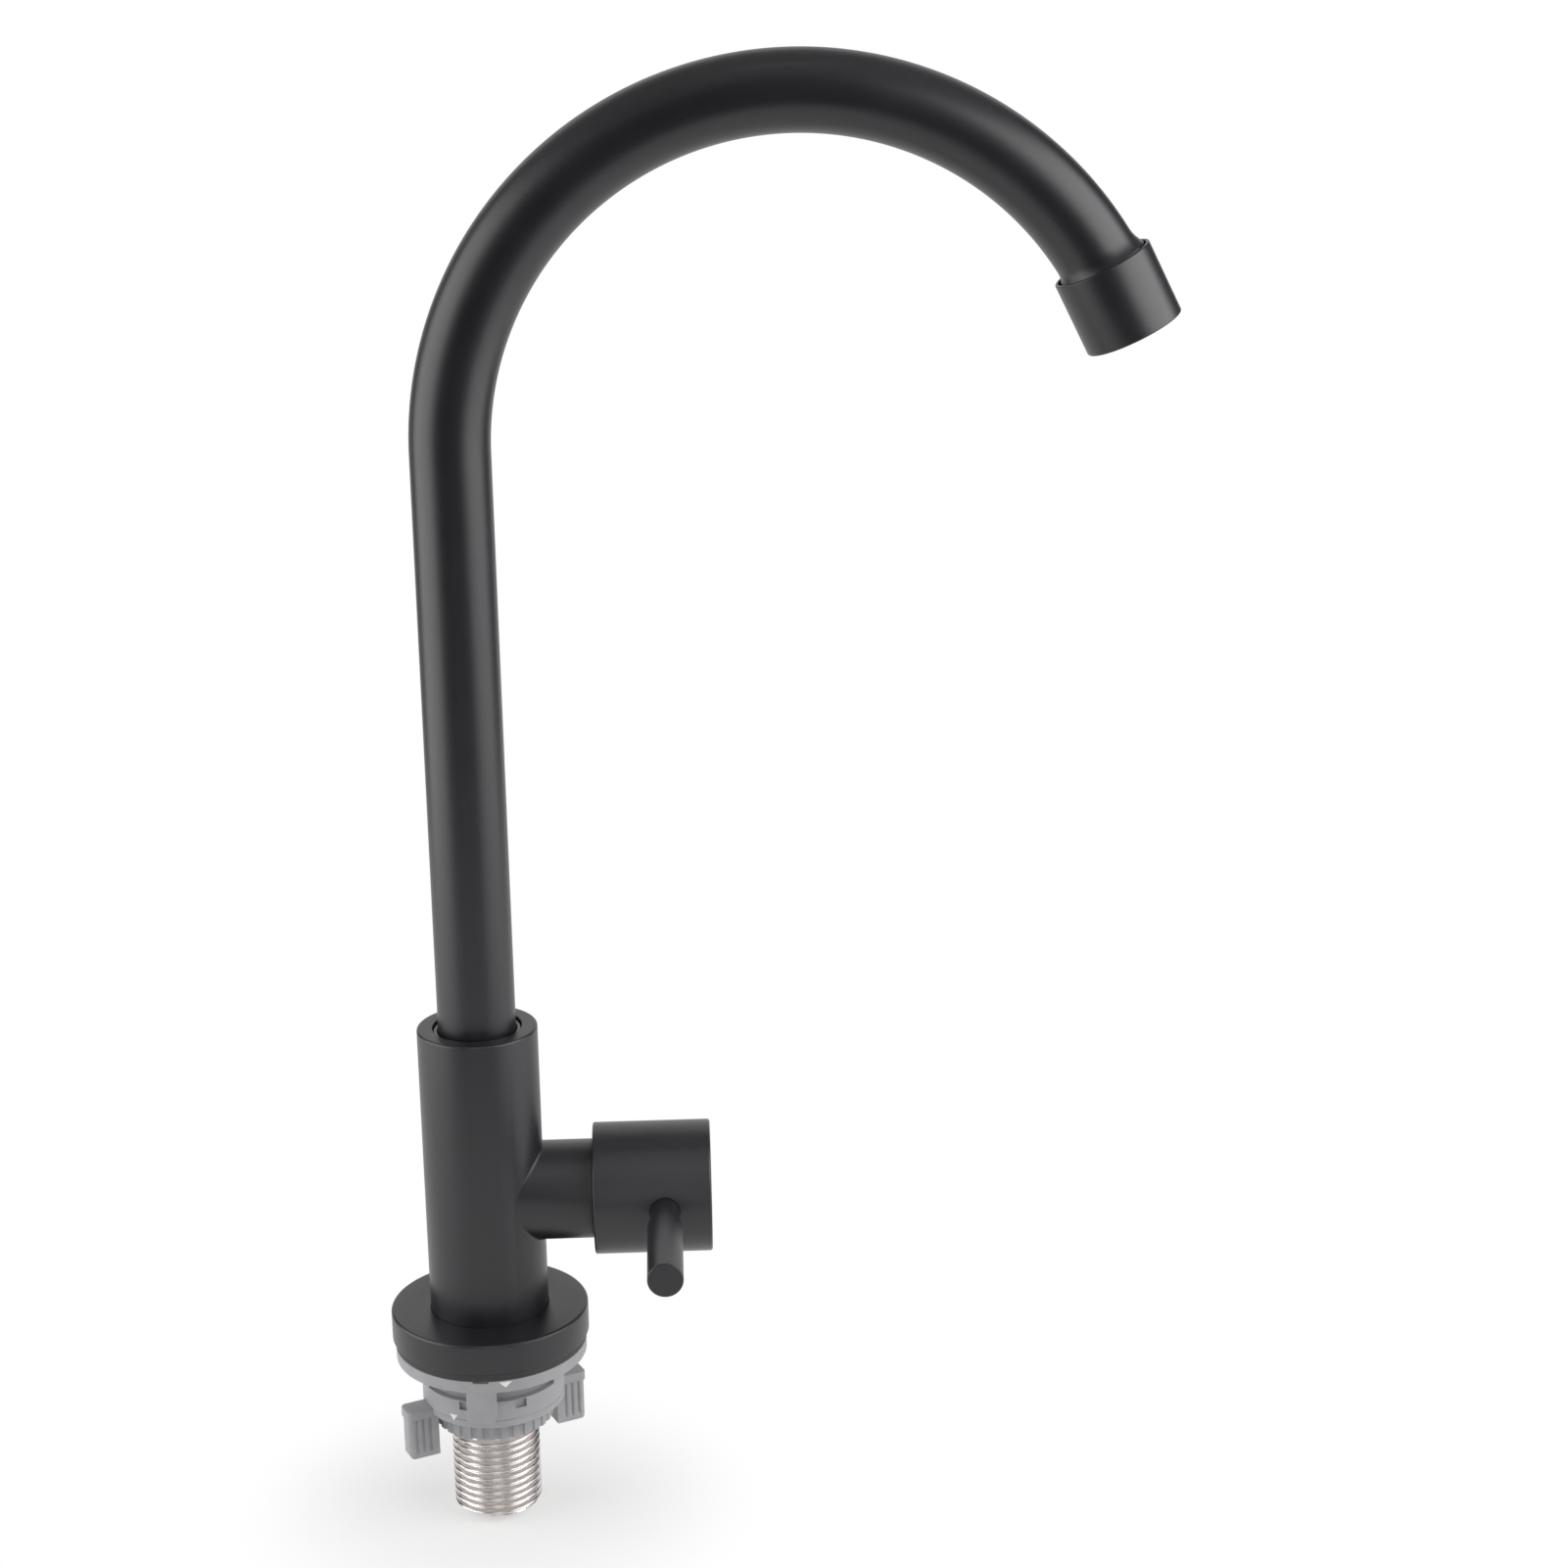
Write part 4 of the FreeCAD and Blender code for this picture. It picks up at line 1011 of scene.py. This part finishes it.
def make_blade(place):
    """The fluted blade, its outer lower corner rounded and its flutes run out above the foot."""
    heights = [wing_corner * (i / CORNER_STEPS) ** 2 for i in range(CORNER_STEPS + 1)]
    heights += [flute_stop + flute_fade * i / FLUTE_STEPS for i in range(FLUTE_STEPS + 1)]
    heights.append(wing_top - wing_slab + blade_root - wing_foot)
    sections = []
    for height in sorted({round(height, 3) for height in heights}):
        share = max(0.0, min(1.0, (height - flute_stop) / flute_fade))
        inset = wing_inset + edge_inset(height)
        limit = wing_reach - wing_inset - edge_inset(height, wing_corner)
        outline = wing_outline(inset, flute_depth * math.sin(math.pi / 2 * share))
        sections.append([(min(x, limit), y, wing_foot + height) for x, y in outline])
    return skin("blade", sections, place)


def make_slab(place):
    """The plain slab on top of a wing, its edges broken above and below."""
    sections = []
    for height in EDGE_LEVELS + [wing_slab - level for level in reversed(EDGE_LEVELS)]:
        outline = wing_outline(edge_inset(min(height, wing_slab - height)), 0)
        sections.append([(x, y, wing_top - wing_slab + height) for x, y in outline])
    return skin("slab", sections, place)


def neck_radius_at(height, angle):
    """The neck's radius: out to the ring's own beside each wing, set in between."""
    off = abs((angle + math.pi / 2) % math.pi - math.pi / 2)
    share = max(0.0, min(1.0, (side_wall_half - off) / wall_slope + 0.5))
    return neck_ring_radius + (ring_radius - neck_ring_radius) * share


def ring_angles():
    """Angles round the ring, dense where the side walls end."""
    angles = set(even_angles(ROUNDS))
    for middle in (0, math.pi):
        for side in (-1, 1):
            for step in WALL_STEPS:
                angles.add((middle + side * side_wall_half + step) % (2 * math.pi))
    return sorted(angles)


def make_wing_ring():
    """The ring, spun with its fine groove, then joined to both wings and given its windows."""
    profile = [
        (ring_bore, ring_foot),
        (ring_radius - foot_chamfer, ring_foot),
        (ring_radius, ring_foot + foot_chamfer_height),
        (ring_radius, groove_foot),
        (ring_radius - groove_depth, groove_foot + groove_slope),
        (ring_radius - groove_depth, groove_foot + groove_height - groove_slope),
        (ring_radius, groove_foot + groove_height),
        (ring_radius, ring_shoulder),
        (neck_radius_at, ring_shoulder),
        (neck_radius_at, ring_top),
        (snap_bore, ring_top),
        (snap_bore, snap_floor),
        (ring_bore, snap_floor),
    ]
    points, faces = spin(profile, ring_angles())
    ring = finish_mesh("wing_nut_ring", points, faces, upright, grey_moulding, None)
    merge_close(ring)
    extras = []
    for turn in (wing_angle, wing_angle + math.pi):
        place = Matrix.Rotation(turn, 4, "Z")
        extras += [make_slab(place), make_blade(place)]
    combine(ring, extras, "UNION")
    size = (2 * window_depth, window_width, window_height)
    wall = (ring_radius, 0, window_level)
    tools = [block("window", size, wall, Matrix.Rotation(a, 4, "Z")) for a in window_angles]
    combine(ring, tools, "DIFFERENCE")
    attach(ring, "wing_nut")
    return ring


wing_ring = make_wing_ring()
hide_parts("wing_ring")
print("wing ring faces:", len(wing_ring.data.polygons))

# %% [markdown]
# Last the collet, which holds the thread. Its skirt is ribbed all round so that a thumb can push
# it off the thread. Thirty ribs, each about a millimetre and a half wide.

# %% Collet
rib_count, rib_height, rib_width, rib_slope = 30, 0.5, 1.5, 0.35
skirt_radius, spigot_radius, spigot_top = 13.5, 12.6, -9.6
skirt_edge, skirt_edge_height = 0.25, 0.3
collet_bore, lead_in = thread_crest + 0.12, 0.2
COLLET_ROUNDS, COLLET_SHARP = 720, 25


def ribbed(radius):
    """The skirt's radius as a function of the angle, ribs and all; its height has no part in it."""

    def at(height, angle):
        pitch = 2 * math.pi / rib_count
        off = abs((angle / pitch) % 1 - 0.5) * pitch * skirt_radius
        rise = max(0.0, min(1.0, (rib_width / 2 - off) / rib_slope + 0.5))
        return radius + rib_height * rise * rise * (3 - 2 * rise)

    return at


def make_collet():
    """The ribbed skirt and the plain spigot that turns with the ring, in one spin."""
    profile = [
        (collet_bore, collet_foot + lead_in),
        (collet_bore + lead_in, collet_foot),
        (ribbed(skirt_radius - skirt_edge), collet_foot),
        (ribbed(skirt_radius), collet_foot + skirt_edge_height),
        (ribbed(skirt_radius), ring_foot),
        (spigot_radius, ring_foot),
        (spigot_radius, spigot_top),
        (collet_bore, spigot_top),
    ]
    points, faces = spin(profile, even_angles(COLLET_ROUNDS))
    return finish_mesh(
        "ribbed_collet", points, faces, upright, grey_moulding, "wing_nut", COLLET_SHARP
    )


collet = make_collet()
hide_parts("thread_collet")
print("collet faces:", len(collet.data.polygons))

# %% [markdown]
# Two small white triangles are printed on the nut, one on the plate's rim and one on the ring.
# They show how far the two are turned against each other. Each is a thin flake of ink that
# follows the curve under it.

# %% Alignment marks
mark_lift = 0.04
MARK_CELLS = 8


def make_mark(name, radius, angle, top, width, drop, body):
    """A flake of ink in the shape of a triangle that points down, laid on a cylinder."""
    points, faces = [], []
    side = MARK_CELLS + 1
    for layer in (radius + mark_lift, radius - mark_lift):
        for i in range(side):
            share = i / MARK_CELLS
            for j in range(side):
                turn = angle + width / radius * (1 - share) * (j / MARK_CELLS - 0.5)
                points.append((layer * math.cos(turn), layer * math.sin(turn), top - drop * share))
    back = side * side
    for i in range(MARK_CELLS):
        for j in range(MARK_CELLS):
            a = side * i + j
            cell = (a, a + 1, a + side + 1, a + side)
            faces += [cell, tuple(back + point for point in reversed(cell))]
        left, right = side * i, side * i + MARK_CELLS
        for a, b in ((i, i + 1), (left, left + side), (right, right + side)):
            faces.append((a, b, back + b, back + a))
    mark = finish_mesh(name, points, faces, upright, ink, body)
    merge_close(mark)
    return mark


plate_mark = make_mark(
    "plate_mark", plate_radius, angle=math.radians(-79),
    top=plate_top - 0.3, width=3.0, drop=1.4, body="clamp",
)
ring_mark = make_mark(
    "ring_mark", ring_radius, angle=math.radians(-121),
    top=-12.4, width=2.2, drop=1.5, body="wing_nut",
)
print("marks made")

# %% [markdown]
# The tap stands on a white sweep, as in a product studio: a table that curves up into a wall
# behind. Close to the tap it is mostly the real matt surface, which keeps the shadow and throws
# light back from below, and it fades into clean white further out, so that no horizon shows.
# The table ends an arm's length in front of the tap. What lies beyond that edge is dark, and the
# tube's front mirrors it: this is why the black looks deeper the higher one looks.

# %% White sweep
floor_level = tail_foot - 2.0  # clear of the wings when the nut is at the end of its travel
table_front, table_back, table_half = -420, 600, 1500
sweep_radius, wall_top = 200, 650
matt_until, white_from = 35, 80  # distances from the frame's origin, which is above the table
least_glow = 0.4
SWEEP_STEPS = 16


def stage_sheet(name, outline, half, material, seen=True):
    """A sheet of the studio, of that half width, along an outline of depth and height."""
    points = [(x, y, z) for y, z in outline for x in (-half, half)]
    faces = [(2 * i, 2 * i + 1, 2 * i + 3, 2 * i + 2) for i in range(len(outline) - 1)]
    sheet = finish_mesh(name, points, faces, upright, material, None)
    sheet.visible_camera = seen


def seen_rays(tree):
    """One for rays that show the background to the eye: straight, mirrored or through glass."""
    path = tree.nodes.new("ShaderNodeLightPath")
    total = path.outputs["Is Camera Ray"]
    for ray in ("Is Glossy Ray", "Is Transmission Ray"):
        total = add(
            tree, "ShaderNodeMath", {"operation": "ADD", "use_clamp": True},
            {0: total, 1: path.outputs[ray]},
        )
    return total


def sweep_paint():
    """Matt white paint near the tap that turns into clean white further out."""
    material, tree, _, place = new_material("white_sweep_paint", "#f4f4f3", 0.8)
    glow = add(tree, "ShaderNodeEmission", {}, {"Color": (1, 1, 1, 1), "Strength": 1.0})
    distance = add(tree, "ShaderNodeVectorMath", {"operation": "LENGTH"}, {0: place}, "Value")
    near, far = matt_until * MM, white_from * MM
    fade = add(
        tree, "ShaderNodeMapRange", {"interpolation_type": "SMOOTHSTEP"},
        {"Value": distance, "From Min": near, "From Max": far, "To Min": least_glow},
    )
    share = add(tree, "ShaderNodeMath", {"operation": "MULTIPLY"}, {0: fade, 1: seen_rays(tree)})
    paint = tree.nodes["Principled BSDF"].outputs[0]
    finished = tree.nodes["Material Output"].inputs["Surface"]
    add(tree, "ShaderNodeMixShader", {}, {0: share, 1: paint, 2: glow}, 0, finished)
    return material


sweep_outline = [(table_front, floor_level), (table_back, floor_level)]
for i in range(1, SWEEP_STEPS + 1):
    turn = math.pi / 2 * i / SWEEP_STEPS
    rise = sweep_radius * (1 - math.cos(turn))
    sweep_outline.append((table_back + sweep_radius * math.sin(turn), floor_level + rise))
sweep_outline.append((table_back + sweep_radius, wall_top))
stage_sheet("white_sweep", sweep_outline, table_half, sweep_paint())
print("table at", round(floor_level, 1), "mm")

# %% [markdown]
# A light tent's roof is cloth that glows weakly, and its front is a dark curtain with the camera
# looking through. Two tall black flags stand behind the tap, left and right. A tube's edge
# mirrors what lies far behind it, so the flags draw the dark rim that keeps the black pipe clear
# of the white ground. All are real sheets here, left out of the camera's own sight.

# %% Roof, curtain and flags
tent_front, roof_back, roof_level, tent_half, cloth_glow = -1000, 700, 900, 900, 0.08
curtain_top, curtain_foot, curtain_hem = 1000, -800, -560
flag_gap, flag_top = 5, 700


def tent_cloth():
    """White cloth that glows weakly."""
    material, _, surface, _ = new_material("dim_tent_cloth", "#b8b8b8", 0.9)
    surface["Emission Color"].default_value = (1, 1, 1, 1)
    surface["Emission Strength"].default_value = cloth_glow
    return material


def make_flag(name, place, width):
    """A tall narrow black sheet that faces the tap."""
    across = Vector((-place[1], place[0], 0)).normalized() * width / 2
    foot, head = Vector((*place, floor_level + flag_gap)), Vector((*place, flag_top))
    corners = [foot - across, foot + across, head + across, head - across]
    flag = finish_mesh(name, corners, [(0, 1, 2, 3)], upright, velvet, None)
    flag.visible_camera = False


velvet = new_material("black_velvet", "#141414", 1.0)[0]
roof_outline = [(tent_front, roof_level), (roof_back, roof_level)]
stage_sheet("tent_roof", roof_outline, tent_half, tent_cloth(), seen=False)
curtain_outline = [
    (tent_front, curtain_top),
    (tent_front, curtain_foot),
    (curtain_hem, curtain_foot),
]
stage_sheet("front_curtain", curtain_outline, tent_half, velvet, seen=False)
make_flag("left_flag", place=(-460, 385), width=270)
make_flag("right_flag", place=(515, 308), width=370)
print("roof, curtain and flags hung")

# %% [markdown]
# Two large soft panels stand left and right, almost square to the view, and a low one fills in
# below the right one. On satin black they give the dark middle and pale flanks of every tube in
# the photograph. The knob lies across the view, so its round front mirrors everything from the
# table up to the roof, and in the photograph it is evenly grey. Seven narrow strips on an arc
# round it give that grey. Each has a grid that holds its light together, so that hardly any of it
# reaches the spout above. The highest looks down past the bend, and its grid is the finest.

# %% Light
knob_front = Vector((35, -15, 38))
strip_distance, strip_width, strip_height = 700, 400, 160
strip_spread, past_bend, past_bend_spread = 28, 70, 18
strips = ((2, 0.05), (14, 0.045), (26, 0.04), (38, 0.035), (50, 0.035), (62, 0.035), (78, 0.02))


def make_panel(name, place, aim, width, height, radiance, spread=180):
    """A soft rectangular lamp that faces a point; sizes in millimetres, spread in degrees."""
    data = bpy.data.lights.new(name, "AREA")
    data.shape = "RECTANGLE"
    data.size = width * MM
    data.size_y = height * MM
    data.energy = radiance * math.pi * width * height * MM * MM
    data.spread = math.radians(spread)
    lamp = bpy.data.objects.new(name, data)
    turn = (Vector(aim) - Vector(place)).to_track_quat("-Z", "Y")
    lamp.matrix_world = Matrix.LocRotScale(Vector(place) * MM, turn, None)
    lamp.visible_camera = False
    bpy.context.scene.collection.objects.link(lamp)


make_panel("left_panel", (-450, -70, 290), (0, 0, 290), width=520, height=640, radiance=2.0)
make_panel("right_panel", (440, -163, 400), (75, 0, 400), width=560, height=440, radiance=3.0)
make_panel("right_panel_foot", (463, -97, 70), (75, 0, 70), width=460, height=220, radiance=1.2)
for elevation, radiance in strips:
    turn = math.radians(elevation)
    place = knob_front + strip_distance * Vector((0, -math.cos(turn), math.sin(turn)))
    spread = strip_spread if elevation < past_bend else past_bend_spread
    name = f"knob_strip_{elevation}"
    make_panel(name, place, knob_front, strip_width, strip_height, radiance, spread)

# %% [markdown]
# The air of the studio gives a weak even fill, but wherever the eye meets it, straight, in a
# mirror or through glass, it is plain white. The picture is then shown as it is, with no film
# curve, so that a colour looks as it is written.

# %% Air and view
fill_strength = 0.25


def make_world():
    """A weak fill for the object, and white for the eye."""
    world = bpy.data.worlds.new("studio_air")
    bpy.context.scene.world = world
    world.use_nodes = True
    tree = world.node_tree
    fill = tree.nodes["Background"]
    fill.inputs["Color"].default_value = (1, 1, 1, 1)
    fill.inputs["Strength"].default_value = fill_strength
    white = add(tree, "ShaderNodeBackground", {}, {"Color": (1, 1, 1, 1), "Strength": 1.0})
    air = tree.nodes["World Output"].inputs["Surface"]
    add(tree, "ShaderNodeMixShader", {}, {0: seen_rays(tree), 1: fill.outputs[0], 2: white}, 0, air)


make_world()
bpy.context.scene.view_settings.view_transform = "Standard"
print("fill strength", fill_strength, "view", bpy.context.scene.view_settings.view_transform)
